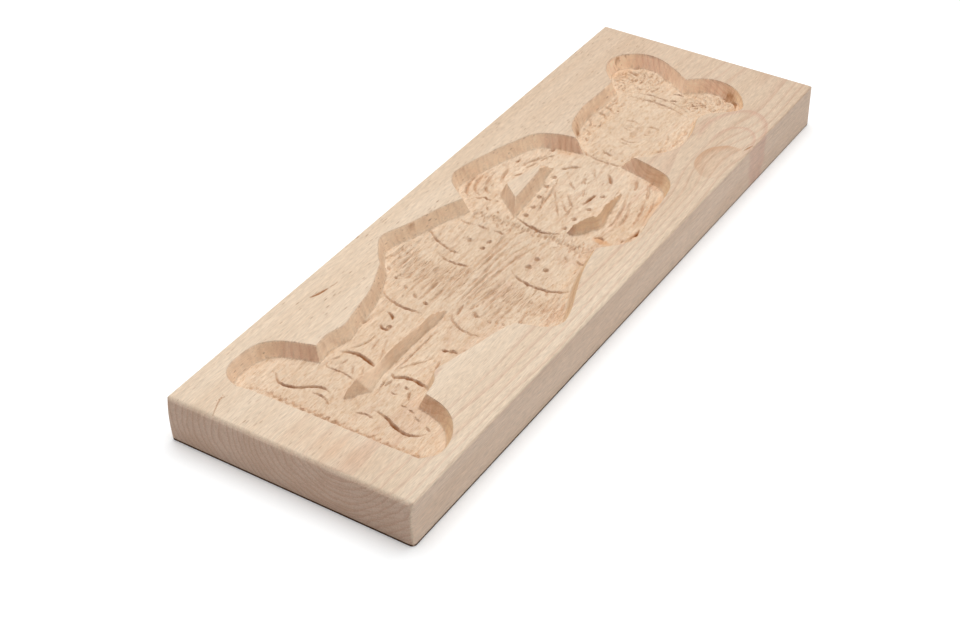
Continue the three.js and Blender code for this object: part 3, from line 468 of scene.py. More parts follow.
        [(9.6, -52.8), (11, -54.7), (13.2, -55.1)], [(16.8, -53.8), (17.4, -54.9), (18.1, -55.5)],
        [(19.6, -53.3), (20.3, -54.4), (21, -55)], [(22.2, -53.2), (23.1, -53.8), (23.7, -53.6)],
        [(26.8, -48.1), (27.5, -49), (28.2, -49.2)], [(3.4, -51.2), (3.9, -54.6), (4.6, -58.2)],
        [(-16.8, -55), (-15.6, -56.6), (-14.2, -57.2)], [(-11, -57.4), (-9.8, -58.4), (-8.4, -58.2)]]),
    "kneeBands": ((0.65, 1, 0.5), [
        [(-28.8, -59.8), (-25, -62.5), (-20, -64.2), (-15, -65), (-10, -64.6), (-6.6, -63.6)],
        [(2.1, -57.2), (4.5, -61.2), (8, -63.5), (12, -65), (16, -65.3), (20.4, -64.7)]]),
    "bows": ((0.7, 1.1, 1.1), [
        [(-19.2, -70), (-17.2, -70.8), (-15.9, -71.6), (-15, -73.1)],
        [(-17.4, -77.5), (-15.8, -78.8), (-13.8, -78.9), (-12.4, -77.8)],
        [(11, -77.9), (12.2, -78.1), (13.7, -77.6)], [(14.4, -76.9), (15.9, -76.9), (17.3, -77.6)],
        [(19.7, -74.4), (19.5, -75), (19.5, -75.8)]]),
    "stockings": ((0.5, 0.8, 0.4), [
        [(-15.3, -82.7), (-15.4, -88.9), (-18, -96.4)],
        [(-10.4, -82.5), (-7.9, -88.8), (-5, -95), (-3.7, -99.4)],
        [(-12.8, -83.7), (-12.4, -87.8), (-11.4, -92.1)],
        [(11, -82.3), (9.2, -87.3), (6.6, -91.8), (4.2, -97.3)],
        [(13.6, -82.4), (15.5, -89.2), (18.5, -95), (20.1, -98.8)], [(-22, -76), (-23, -82), (-22.2, -88)],
        [(3.6, -68), (3.8, -84), (3.4, -100)], [(21, -76), (20, -83), (18.3, -88.8)]]),
    "ankleRuffles": ((0.95, 1.5, 1.25), [
        [(-20.2, -99.6), (-18, -98.6), (-15.7, -97.7), (-13.8, -97.1), (-10.7, -97.7), (-8, -98.7),
         (-6, -99.4), (-4.2, -100.4)],
        [(3.4, -100.2), (5.3, -101.6), (6.8, -100.6), (8.5, -99.6), (10.9, -99.2), (13.5, -99.3),
         (16, -99.7), (18, -100), (20, -101.2)]]),
    "ankleFolds": ((0.5, 0.9, 0.5), [
        [(-15, -101.6), (-15.3, -104), (-16.1, -106.4)], [(-11, -103.6), (-10, -106), (-8.3, -108.4)],
        [(15, -104.8), (16, -107.4), (17.6, -109.8)], [(12, -104), (13, -104.6), (14.2, -104.7)],
        [(5.9, -103), (5.8, -105.2), (5.4, -107.4)], [(-18.4, -102), (-19.4, -104), (-20.4, -105.6)],
        [(9, -103), (9.4, -105), (9.2, -107)], [(-7.6, -102), (-6.6, -104.4), (-5.6, -106.4)]]),
    "shoeTops": ((0.45, 0.8, 0.42), [
        [(-20.6, -106.6), (-19.5, -109.3), (-15, -109.3), (-11, -109.5), (-7, -110.5), (-4.7, -111.7)],
        [(3.9, -104.6), (4.6, -109), (5.6, -113)], [(9.2, -109.3), (10.8, -109.2), (12.4, -108.9)],
        [(16.2, -113.1), (17.8, -113.4), (19.2, -113.4)], [(20.1, -113.8), (21.7, -114.2), (23.2, -114.7)],
        [(24, -116.1), (25.8, -116.8), (27.7, -117.3)], [(30.5, -118.2), (32, -119.1), (33.6, -119.9)]]),
    "shoeScrolls": ((0.75, 1.3, 1), [
        [(-33.2, -122.1), (-30.2, -125.1), (-27.2, -126.2), (-22.2, -125.2), (-18.2, -122.6),
         (-14.7, -120.3), (-12.6, -120), (-10, -120.8)],
        [(9.9, -120.6), (12.8, -120.9), (16.8, -122), (20.7, -123.9), (25.7, -125.3), (29.8, -124.6),
         (33.3, -121.5)]]),
    "shoeCurls": ((0.5, 0.9, 0.6), [
        [(-15.6, -124.3), (-12.6, -124), (-9.5, -124.5), (-7, -125.8), (-5.6, -126.8)],
        [(4.6, -125.2), (7, -124.4), (9, -123.9), (12.3, -124.6)]]),
    "brows": ((0.6, 0.6, 0.35), [
        [(-8.8, 100.5), (-5.4, 102), (-2.2, 100.7)], [(1, 100.7), (4.2, 102), (7.6, 100.5)],
        [(-7.4, 95.6), (-5.2, 94.8), (-3.2, 95.6)], [(2, 95.6), (4, 94.8), (6.2, 95.6)]]),
    "nose": ((1.7, 1.2, 0), [[(-0.6, 101), (-0.6, 95), (-0.6, 89.4)]]),
    "mouth": ((0.6, 0.7, 0.5), [
        [(-4.8, 87.1), (-0.6, 86), (3.6, 87.1)], [(-2.9, 83.9), (-0.6, 83.4), (1.7, 83.9)]]),
}
pits = {
    "studs": ((1.2, 1.5, 0.5), [
        (-23.7, 61.7), (25.6, 61.3), (-12.1, 43.5), (-11.5, 36.1), (-10.1, 27.9), (-8.3, 20), (-7.8, 13.3),
        (12.3, 30.2), (10.5, 21), (10.5, 13.2), (12.4, 41.7), (-10.9, -10.2), (-19.1, -12.3),
        (-11.1, -14.9), (11.6, -10.3), (11.2, -15.9), (17.9, -13.8), (-13.7, -77), (14.9, -77.1)]),
    "dots": ((0.7, 0.7, 0.6), [
        (25.4, 59.6), (-23.3, 16), (-10.4, 119), (-6, 121.5), (1.5, 119.3), (10.5, -16.4), (12.1, -16),
        (-33.5, 141), (-28.5, 142.6), (-15.2, 104.6), (-18.2, 89.1)]),
    "eyes": ((1.7, 0.9, 0.15), [(-5.2, 97.4), (4, 97.4)]),
    "cheeks": ((4.2, 0.9, 0), [(-7, 89.6), (5.8, 89.6)]),
}
for size, lines in cuts.values():
    for line in lines:
        cutLine(line, size, 0.35)
for size, spots in pits.values():
    for spot in spots:
        cutPit(spot, size)

# Rows of fine cuts: the fringe under the belt and the small folds of the breeches. The top is the
# height where a row starts and how far it strays from there.
fineCuts = {
    "fringe": {"size": (0.42, 0.8, 0.18), "fromX": -27, "toX": 32, "pitch": 0.95, "top": (5.6, 1.2),
               "long": 3.6, "spread": 0.02},
    "leftFolds": {"size": (0.42, 0.55, 0.26), "fromX": -38, "toX": -4, "pitch": 1.15, "top": (-30, 4.5),
                  "long": 20, "spread": 0.12},
    "rightFolds": {"size": (0.42, 0.55, 0.26), "fromX": 5, "toX": 40, "pitch": 1.2, "top": (-30, 4.5),
                   "long": 19, "spread": 0.12},
}
for row in fineCuts.values():
    middle = (row["fromX"] + row["toX"]) / 2
    for x in np.arange(row["fromX"], row["toX"], row["pitch"]):
        x, y = x + seed.uniform(-0.3, 0.3), row["top"][0] + seed.uniform(-1, 1) * row["top"][1]
        long = row["long"] * seed.uniform(0.5, 1)
        lean = (x - middle) * row["spread"] * long / row["long"]
        cutLine([(x, y), (x + lean * 0.4, y - long * 0.5), (x + lean, y - long)], row["size"], 0.25)

# Barbs that fan out round the heart of each plume (its place, first and last turn, and their
# number), and the row of beads on the ground line, each a small arc and a bar.
barbs = {
    "inner": 4.5, "outer": 11.5, "lean": 28, "size": (0.55, 0.5, 0.08),
    "fans": [((-19.5, 131), 0, 235, 13), ((17, 127.5), -70, 180, 13)],
}
beads = {
    "from": -35, "to": 40, "pitch": 3.2, "y": -133.3, "size": (0.7, 0.9, 0.5),
    "arc": [(-1.3, 0.2), (0, -0.6), (1.3, 0.2)], "bar": [(1.5, 1.6), (1.6, -0.2)],
}
for (cx, cy), start, stop, count in barbs["fans"]:
    for turn in np.radians(np.linspace(start, stop, count)):
        bend = math.radians(barbs["lean"])
        line = []
        for share in (0, 0.5, 1):
            radius = barbs["inner"] + (barbs["outer"] - barbs["inner"]) * share
            angle = turn + bend * share * share
            line.append((cx + radius * math.cos(angle), cy + radius * math.sin(angle)))
        cutLine(line, barbs["size"], 0.3)
for x in np.arange(beads["from"], beads["to"], beads["pitch"]):
    y = beads["y"] + seed.uniform(-0.5, 0.5)
    halfWidth, depth, dark = beads["size"]
    size = (halfWidth, depth * seed.uniform(0.6, 1.2), dark * seed.uniform(0.3, 1.1))
    cutLine([(x + dx, y + dy) for dx, dy in beads["arc"]], size, 0.5, ends=0.3)
    cutLine([(x + dx, y + dy) for dx, dy in beads["bar"]], size, 0.5)
print("lines and pits cut")


def nearLine(line, reach=2):
    area = windowRound(np.array(line), reach)
    return area, *nearPath(smoothPath(line), area)


# Flaws of the wood on the top face: half width, depth, darkness and path.
flaws = {
    "bark": (0.75, 0.5, 1, [(-44.4, -85), (-43, -81), (-42.2, -77)]),
    "barkTail": (0.3, 0.15, 0.6, [(-42.1, -77), (-41.6, -74), (-41.4, -71.5)]),
    "check": (0.24, 0.4, 0.8, [(-36.4, -148), (-35.3, -152), (-33.8, -155.7), (-32.4, -158.9)]),
    "checkFork": (0.24, 0.25, 0.7, [(-35, -147.6), (-35.6, -149.6), (-36.4, -152)]),
    "spot": (0.5, 0.3, 0.8, [(50.6, 95.4), (51.2, 97.8), (51.9, 100.4)]),
}
topMarks = np.zeros(gridX.shape)
topTone = np.zeros(gridX.shape)
for halfWidth, depth, dark, line in flaws.values():
    area, away, along = nearLine(line)
    fall = np.clip(1 - away / (halfWidth * (0.3 + 0.7 * np.sin(np.pi * along))), 0, 1)
    topMarks[area] = np.maximum(topMarks[area], depth * fall)
    topTone[area] = np.maximum(topTone[area], dark * np.clip(fall * 2, 0, 1))

# Places where the cut wood is a warmer orange: middle, reach and strength.
warmPlaces = [
    ((31.5, 129), (5, 8), 0.9), ((36.5, 44), (4.5, 15), 0.8), ((-23.5, 77), (3, 7), 0.7),
    ((-18, 64.5), (6, 4), 0.6), ((27.5, 13.4), (4, 2), 1.3), ((-20, 24), (4, 6), 0.8),
    ((-31, 135), (5, 7), 0.5), ((24, 118), (8, 5), 0.4), ((27, 62), (6, 4), 0.5),
    ((-39, 24), (4, 8), 0.4),
]
warmth = np.zeros(gridX.shape)
for at, reach, strength in warmPlaces:
    warmth = np.maximum(warmth, strength * np.clip(1.3 - ovalReach(at, reach), 0, 1))

# Painted shade on the walls and along their feet: half width, darkness and path.
wallShadeStreaks = {
    "rightPlume": (1.1, 0.85, [(17, 140.3), (20.4, 139.1), (23.8, 137.9), (27.5, 134.5), (30.2, 131.4)]),
    "leftPlume": (0.8, 0.7, [(-33.5, 132.8), (-34, 137.6), (-32.9, 140.8), (-30.3, 140.7)]),
    "leftHair": (1, 0.75, [(-25.4, 83.8), (-22.9, 81.4), (-20.8, 78.8), (-20.2, 75.4)]),
    "hairWall": (2.2, 0.26, [(-24.6, 116), (-24, 103), (-24.2, 92), (-22.5, 80), (-17, 71)]),
    "legWall": (2, 0.2, [(-43.5, -37), (-39.6, -45), (-33, -53), (-29, -62), (-26.6, -70), (-24, -84)]),
    "skirtFoot": (1.3, 0.36, [(27, 5), (31, -7.5), (35.6, -21.3), (40, -33), (42, -41), (40.5, -47)]),
}
paintedWallShade = np.zeros(gridX.shape)
for halfWidth, dark, line in wallShadeStreaks.values():
    area, away, along = nearLine(line)
    ragged = 1 + 0.8 * wobble[area]
    fall = np.clip(1 - away / (halfWidth * ragged * np.sin(np.pi * along) + 0.01), 0, 1)
    paintedWallShade[area] = np.maximum(paintedWallShade[area], dark * np.clip(fall * 1.5, 0, 1))

# What the hand tool left on the floor, each with its depth and the size and turn of its marks.
# The torn edge only frays the torn fibre.
toolMarks = {
    "chatter": (0.12, (0.8, 1.6, 8)), "groove": (0.32, (1.1, 14, 2)), "fine": (0.3, (0.7, 5, -2)),
    "curl": (0.42, (2, 2.2, 20)), "torn": (0.4, (0.6, 2.4, 4)), "tornEdge": (0, (0.5, 1.3, -6)),
    "facet": (0.2, (3, 5.5, 15)),
}
# darkness of those marks and of the painted shade on the inner walls, and what it left on the walls:
# flutes, drift and hatching, by their pitch
markDark = {"groove": 0.3, "curl": 0.2, "torn": 0.42, "hatch": 0.32, "innerWallShade": 0.11}
wallMarks = {"flutePitch": 1.3, "hatchPitch": 0.8, "wanderPitch": 9, "flute": 0.07, "wander": 0.1,
             "longestRun": 1600}

fields = {name: cloud(*size) for name, (depth, size) in toolMarks.items()}
# thin crooked lines where a random field passes through zero
fields["curl"] = np.clip(1 - np.abs(fields["curl"]) / 0.2, 0, 1)
torn = fields["torn"] * 0.7 + fields["tornEdge"] * 0.5
fields["torn"] = np.clip((torn - 0.42) / 0.45, 0, 1)
awayFromWall = np.clip((inward - mould["draft"]) / 1.5, 0.15, 1)
rough = roughness * awayFromWall
straight = 1 - curling
spread = {"groove": straight, "fine": 1, "curl": curling, "torn": 1, "facet": 1, "chatter": 1}
marks = sum(toolMarks[name][0] * fields[name] * share for name, share in spread.items())
relief = floorDepth + carved + rough * marks
markTone = np.maximum(markDark["groove"] * np.clip(fields["groove"], 0, 1) * straight,
                      markDark["curl"] * fields["curl"] * curling)
cutAndShadeTone = np.maximum(cutAndShadeTone, rough * np.maximum(markTone, markDark["torn"] * fields["torn"]))

# Each ridge: a roof that stands on the floor and falls to it at both ends.
ridgeShare = np.zeros(gridX.shape)
for ridge in ridges.values():
    line = smoothPath(ridge["crest"], mould["crestPitch"])
    area = windowRound(line, mould["reach"])
    roof = np.full(gridX[area].shape, -boardThick)
    for x, y, height, rightSide in line:
        gap = np.hypot(gridX[area] - x, gridY[area] - y)
        runOut = np.where(gridX[area] > x, rightSide, ridge["leftSide"])
        roof = np.maximum(roof, height - gap * mould["floor"] / runOut)
    if "cutBy" in ridge:
        (ax, ay), (bx, by) = ridge["cutBy"]
        away = (bx - ax) * (gridY[area] - ay) - (by - ay) * (gridX[area] - ax)
        roof = np.minimum(roof, -away / math.hypot(bx - ax, by - ay) * ridgeEndSlope)
    ridgeShare[area] = np.maximum(ridgeShare[area], np.clip(roof / 1.5, 0, 1))
    relief[area] = np.minimum(relief[area], mould["floor"] - roof)


def alongRim(pitch):
    # random value from -1 to 1 along the run of the rim
    knots = np.arange(0, wallMarks["longestRun"], pitch)
    return np.interp(rimRun, knots, seed.uniform(-1, 1, len(knots)))


flute, hatch, wander = (alongRim(wallMarks[name + "Pitch"]) for name in ("flute", "hatch", "wander"))
# Height of the carved face: the walls slope in from the rim and meet the floor in a small fillet.
easing = np.clip(1 - ovalReach(gentleWall["at"], gentleWall["reach"], gentleWall["turn"]), 0, 1)**0.3
slope = mould["floor"] / (mould["draft"] + (gentleWall["draft"] - mould["draft"]) * easing)
worn = inward + wallMarks["wander"] * wander + wallMarks["flute"] * flute * np.clip(inward / 1.5, 0, 1)
# grid points next to the rim are moved onto it
snapX, snapY = gridX.copy(), gridY.copy()
riseY, riseX = np.gradient(worn, ys, xs)
steep = np.maximum(np.hypot(riseX, riseY), 0.3)
nearRim = np.abs(worn) < plank["snap"] * gridStep
snapX[nearRim] -= (worn * riseX / steep**2)[nearRim]
snapY[nearRim] -= (worn * riseY / steep**2)[nearRim]
worn[nearRim] = 0
wall = np.hypot(slope * np.clip(worn, 0, None), mould["rimSoft"]) - mould["rimSoft"]
depth = np.where(worn > 0, softMin(wall, relief, mould["footSoft"]), 0)
depth = np.clip(depth, 0, boardThick - plank["underMould"])
wallShare = np.maximum(np.clip((relief - wall) / 0.8, 0, 1), ridgeShare) * (worn > 0)
print(f"mould carved, deepest {depth.max():.2f} mm")


def edgeDrop(away, band, height):
    return height * np.clip(1 - away / band, 0, 1)**1.6


endGap = np.minimum(gridY - ys[0], ys[-1] - gridY)
sideGap = boardWidth / 2 - np.abs(gridX)
drop = np.maximum(edgeDrop(endGap, plank["endRound"], plank["endDrop"]),
                  edgeDrop(sideGap, plank["longEase"], plank["longDrop"]))
cornerRound = np.where((gridX < 0) & (gridY < 0), plank["sharpCorner"], plank["corner"])
cornerX = np.clip(1 - sideGap / cornerRound, 0, 1)
cornerY = np.clip(1 - endGap / cornerRound, 0, 1)
atCorner = (cornerX > 0) & (cornerY > 0)
roundX = cornerX * np.sqrt(1 - cornerY**2 / 2)
roundY = cornerY * np.sqrt(1 - cornerX**2 / 2)
snapX[atCorner] -= (np.sign(gridX) * (cornerX - roundX) * cornerRound)[atCorner]
snapY[atCorner] -= (np.sign(gridY) * (cornerY - roundY) * cornerRound)[atCorner]
topZ = boardThick - depth - drop - topMarks * (worn <= 0)

rows, columns = gridX.shape
index = np.arange(rows * columns).reshape(rows, columns)
vertices = [np.stack([snapX, snapY, topZ], -1).reshape(-1, 3)]
quads = [np.stack([index[:-1, :-1], index[:-1, 1:], index[1:, 1:], index[1:, :-1]], -1).reshape(-1, 4)]
rim = np.concatenate([index[0, :-1], index[:-1, -1], index[-1, :0:-1], index[:0:-1, 0]])
start = vertices[0][rim]
outwards = start[:, :2] - np.clip(
    start[:, :2], (-boardWidth / 2 + plank["corner"], -boardLength / 2 + plank["corner"]),
    (boardWidth / 2 - plank["corner"], boardLength / 2 - plank["corner"]))
outwards /= np.maximum(np.hypot(*outwards.T), 1e-6)[:, None]
ringBefore = rim
made = rows * columns
# the sides go down to a low foot, set in a little all round; share 2 is the edge of the underside
foot = np.where(np.abs(outwards[:, 1]) > 0.5, plank["footEnd"], plank["footSide"])
sideRows = [(share, 0) for share in plank["sideRows"]]
sideRows += [(1, plank["footInset"]), (2, plank["footInset"])]
for share, inset in sideRows:
    ring = start.copy()
    ring[:, 2] = np.where(share > 1, 0, start[:, 2] + (foot - start[:, 2]) * share)
    belly = np.sin(np.pi * min(1, share)**0.8) * plank["endBelly"] * np.clip(-outwards[:, 1], 0, 1)
    ring[:, :2] += outwards * (belly - inset)[:, None]
    ringIndex = made + np.arange(len(rim))
    quads.append(np.stack([np.roll(ringBefore, -1), ringBefore, ringIndex, np.roll(ringIndex, -1)], -1))
    vertices.append(ring)
    ringBefore = ringIndex
    made += len(rim)

vertices = np.concatenate(vertices) * mm
faces = [tuple(int(i) for i in quad) for quad in np.concatenate(quads)]
faces.append(tuple(int(i) for i in ringBefore[::-1]))
mesh = bpy.data.meshes.new("carvedBoard")
mesh.from_pydata([tuple(v) for v in vertices.tolist()], [], faces)
mesh.validate()
board = bpy.data.objects.new("carvedBoard", mesh)
bpy.context.collection.objects.link(board)
print(f"plank meshed: {len(mesh.polygons)} faces")

detail = {"triangles": 190000, "sharpAngle": 33, "attributeDepth": 12}  # depth under the top face
bpy.context.view_layer.objects.active = board
board.select_set(True)
triangles = sum(len(p.vertices) - 2 for p in mesh.polygons)
thinner = board.modifiers.new("thinner", "DECIMATE")
thinner.ratio = min(1, detail["triangles"] / triangles)
bpy.ops.object.modifier_apply(modifier=thinner.name)
for vertex in board.data.vertices:
    vertex.co = [min(max(c, lo), hi) for c, lo, hi in zip(vertex.co, low, high)]
board.data.shade_smooth()
board.data.set_sharp_from_angle(angle=math.radians(detail["sharpAngle"]))
mesh = board.data
print(f"thinned from {triangles} to {sum(len(p.vertices) - 2 for p in mesh.polygons)} triangles")


def addAttribute(name, field):
    # a value for each vertex, read off the grid where it lies
    place = np.empty(len(mesh.vertices) * 3)
    mesh.vertices.foreach_get("co", place)
    place = place.reshape(-1, 3) / mm
    j = np.clip(np.searchsorted(xs, place[:, 0] - gridStep / 2), 0, columns - 1)
    i = np.clip(np.searchsorted(ys, place[:, 1] - gridStep / 2), 0, rows - 1)
    values = np.where(place[:, 2] > boardThick - detail["attributeDepth"], field[i, j], 0)
    mesh.attributes.new(name, "FLOAT", "POINT").data.foreach_set("value", values.astype(np.float32))


waistSide = {"at": (-18.5, 27), "reach": (9, 17)}  # round the uncut wood beside the waist
nearGap = ovalReach(waistSide["at"], waistSide["reach"]) < 1
# painted shade on the ridges and on the walls beside the uncut wood at the waist; the other walls get the
# tool's hatching and speckle
innerWallShade = np.maximum(ridgeShare, wallShare * nearGap)
speckle = np.clip(cloud(0.5, 0.9) * 0.6 + cloud(0.9, 2) * 0.6 - 0.25, 0, 1)
wallTone = (markDark["hatch"] * (np.clip(hatch, 0, 1) * 0.6 + speckle) * wallShare
            + innerWallShade * markDark["innerWallShade"])
# the cut attribute: the cut wood's darker tone, tool marks and flaws on the top, with painted shade in the
# gouges, on the ridges and inner walls and along the wall feet
carvedDarkAndShade = np.maximum(np.maximum(cutAndShadeTone * np.clip(1.5 - wallShare, 0, 1), wallTone), paintedWallShade)
addAttribute("cut", np.where(worn > mould["inside"], carvedDarkAndShade, topTone * (worn <= 0)))
addAttribute("wall", wallShare)
addAttribute("warm", warmth * (worn > mould["inside"]))
addAttribute("hollow", np.clip(depth / mould["floor"], 0, 1.3))
print("attributes written")


class Wire:
    # a shader socket with arithmetic; each operation adds its node to the tree
    def __init__(self, tree, socket=None):
        self.tree = tree
        self.socket = socket

    def make(self, kind, settings=(), values=(), out=0):
        node = self.tree.nodes.new(kind)
        for name, value in dict(settings).items():
            setattr(node, name, value)
        for key, value in dict(values).items():
            if isinstance(value, Wire):
                self.tree.links.new(value.socket, node.inputs[key])
            else:
                node.inputs[key].default_value = value
        return Wire(self.tree, node.outputs[out] if node.outputs else None)

    def math(self, operation, *terms):
        return self.make("ShaderNodeMath", {"operation": operation}, enumerate(terms))

    def vector(self, operation, *terms):
        return self.make("ShaderNodeVectorMath", {"operation": operation}, enumerate(terms))

    def axis(self, index):
        return self.make("ShaderNodeSeparateXYZ", values={0: self}, out=index)

    def __neg__(self):
        return self.math("MULTIPLY", self, -1)

    def fade(self, start, stop):
        # 0 before start, 1 after stop, smooth between; start may be the larger
        return self.make("ShaderNodeMapRange", {"interpolation_type": "SMOOTHSTEP"},
                         {0: self, 1: start, 2: stop})

    def mix(self, factor, first, second, blend="MIX"):
        return self.make("ShaderNodeMix", {"data_type": "RGBA", "blend_type": blend},
                         {0: factor, 6: first, 7: second}, 2)


# the arithmetic operators and their reflected forms
for operator, operation in {"add": "ADD", "sub": "SUBTRACT", "mul": "MULTIPLY", "truediv": "DIVIDE",
                            "pow": "POWER"}.items():
    setattr(Wire, f"__{operator}__", lambda self, other, kind=operation: self.math(kind, self, other))
    setattr(Wire, f"__r{operator}__", lambda self, other, kind=operation: self.math(kind, other, self))


def tint(red, green, blue):
    # colour as seen on screen, as linear light
    parts = (red / 255, green / 255, blue / 255)
    return tuple(c / 12.92 if c <= 0.04045 else ((c + 0.055) / 1.055)**2.4 for c in parts) + (1,)


def newMaterial(name):
    material = bpy.data.materials.new(name)
    material.use_nodes = True
    material.node_tree.nodes.clear()
    return material, Wire(material.node_tree)


# Beech: its tones, the growth rings, the knot at the right of the head and how strong each layer is.
# A spot is the middle and the reach of an oval in plan.
beech = {
    "pale": tint(229, 209, 186), "warm": tint(223, 200, 175), "ringTone": tint(206, 168, 144),
    "fleckTone": tint(160, 122, 94), "floorTone": tint(206, 172, 138), "cutAndShadeTone": tint(154, 92, 34),
    "wallTone": tint(240, 236, 232), "rightWallTone": tint(248, 243, 232),
    "endTone": tint(234, 224, 225), "sideTone": tint(255, 250, 252), "footShadowTone": tint(108, 88, 72),
    "farTone": tint(241, 236, 233), "toolTone": tint(186, 138, 88), "blushTone": tint(214, 172, 138),
    "heartTone": tint(206, 164, 132), "heartRingTone": tint(214, 172, 152),
    "warmTone": tint(214, 152, 96),
    "pith": (25, 57), "pithLean": (0.02, 0.008), "ringPitch": 2.2, "endPith": (22, 31), "endPitch": 2.7,
    "knot": ((43, 83), (10, 25)), "knotLift": 4.5, "heart": ((46.5, 82), (10.4, 13.6)),
    "heartRings": [((43.5, 98), (8.6, 14.2)), ((40.5, 104), (13.2, 22))], "blush": ((15, -150), (17, 7)),
    "fleckShare": 0.75, "bigFleckShare": 0.7, "blushShare": 0.7, "heartShare": 0.7, "heartRingShare": 0.5,
    "endRingShare": 0.5, "toolShare": 0.44, "cutAndShadeShare": 0.84, "rough": 0.62, "specular": 0.08,
    "bump": 0.35, "bumpHeight": 0.25,
}


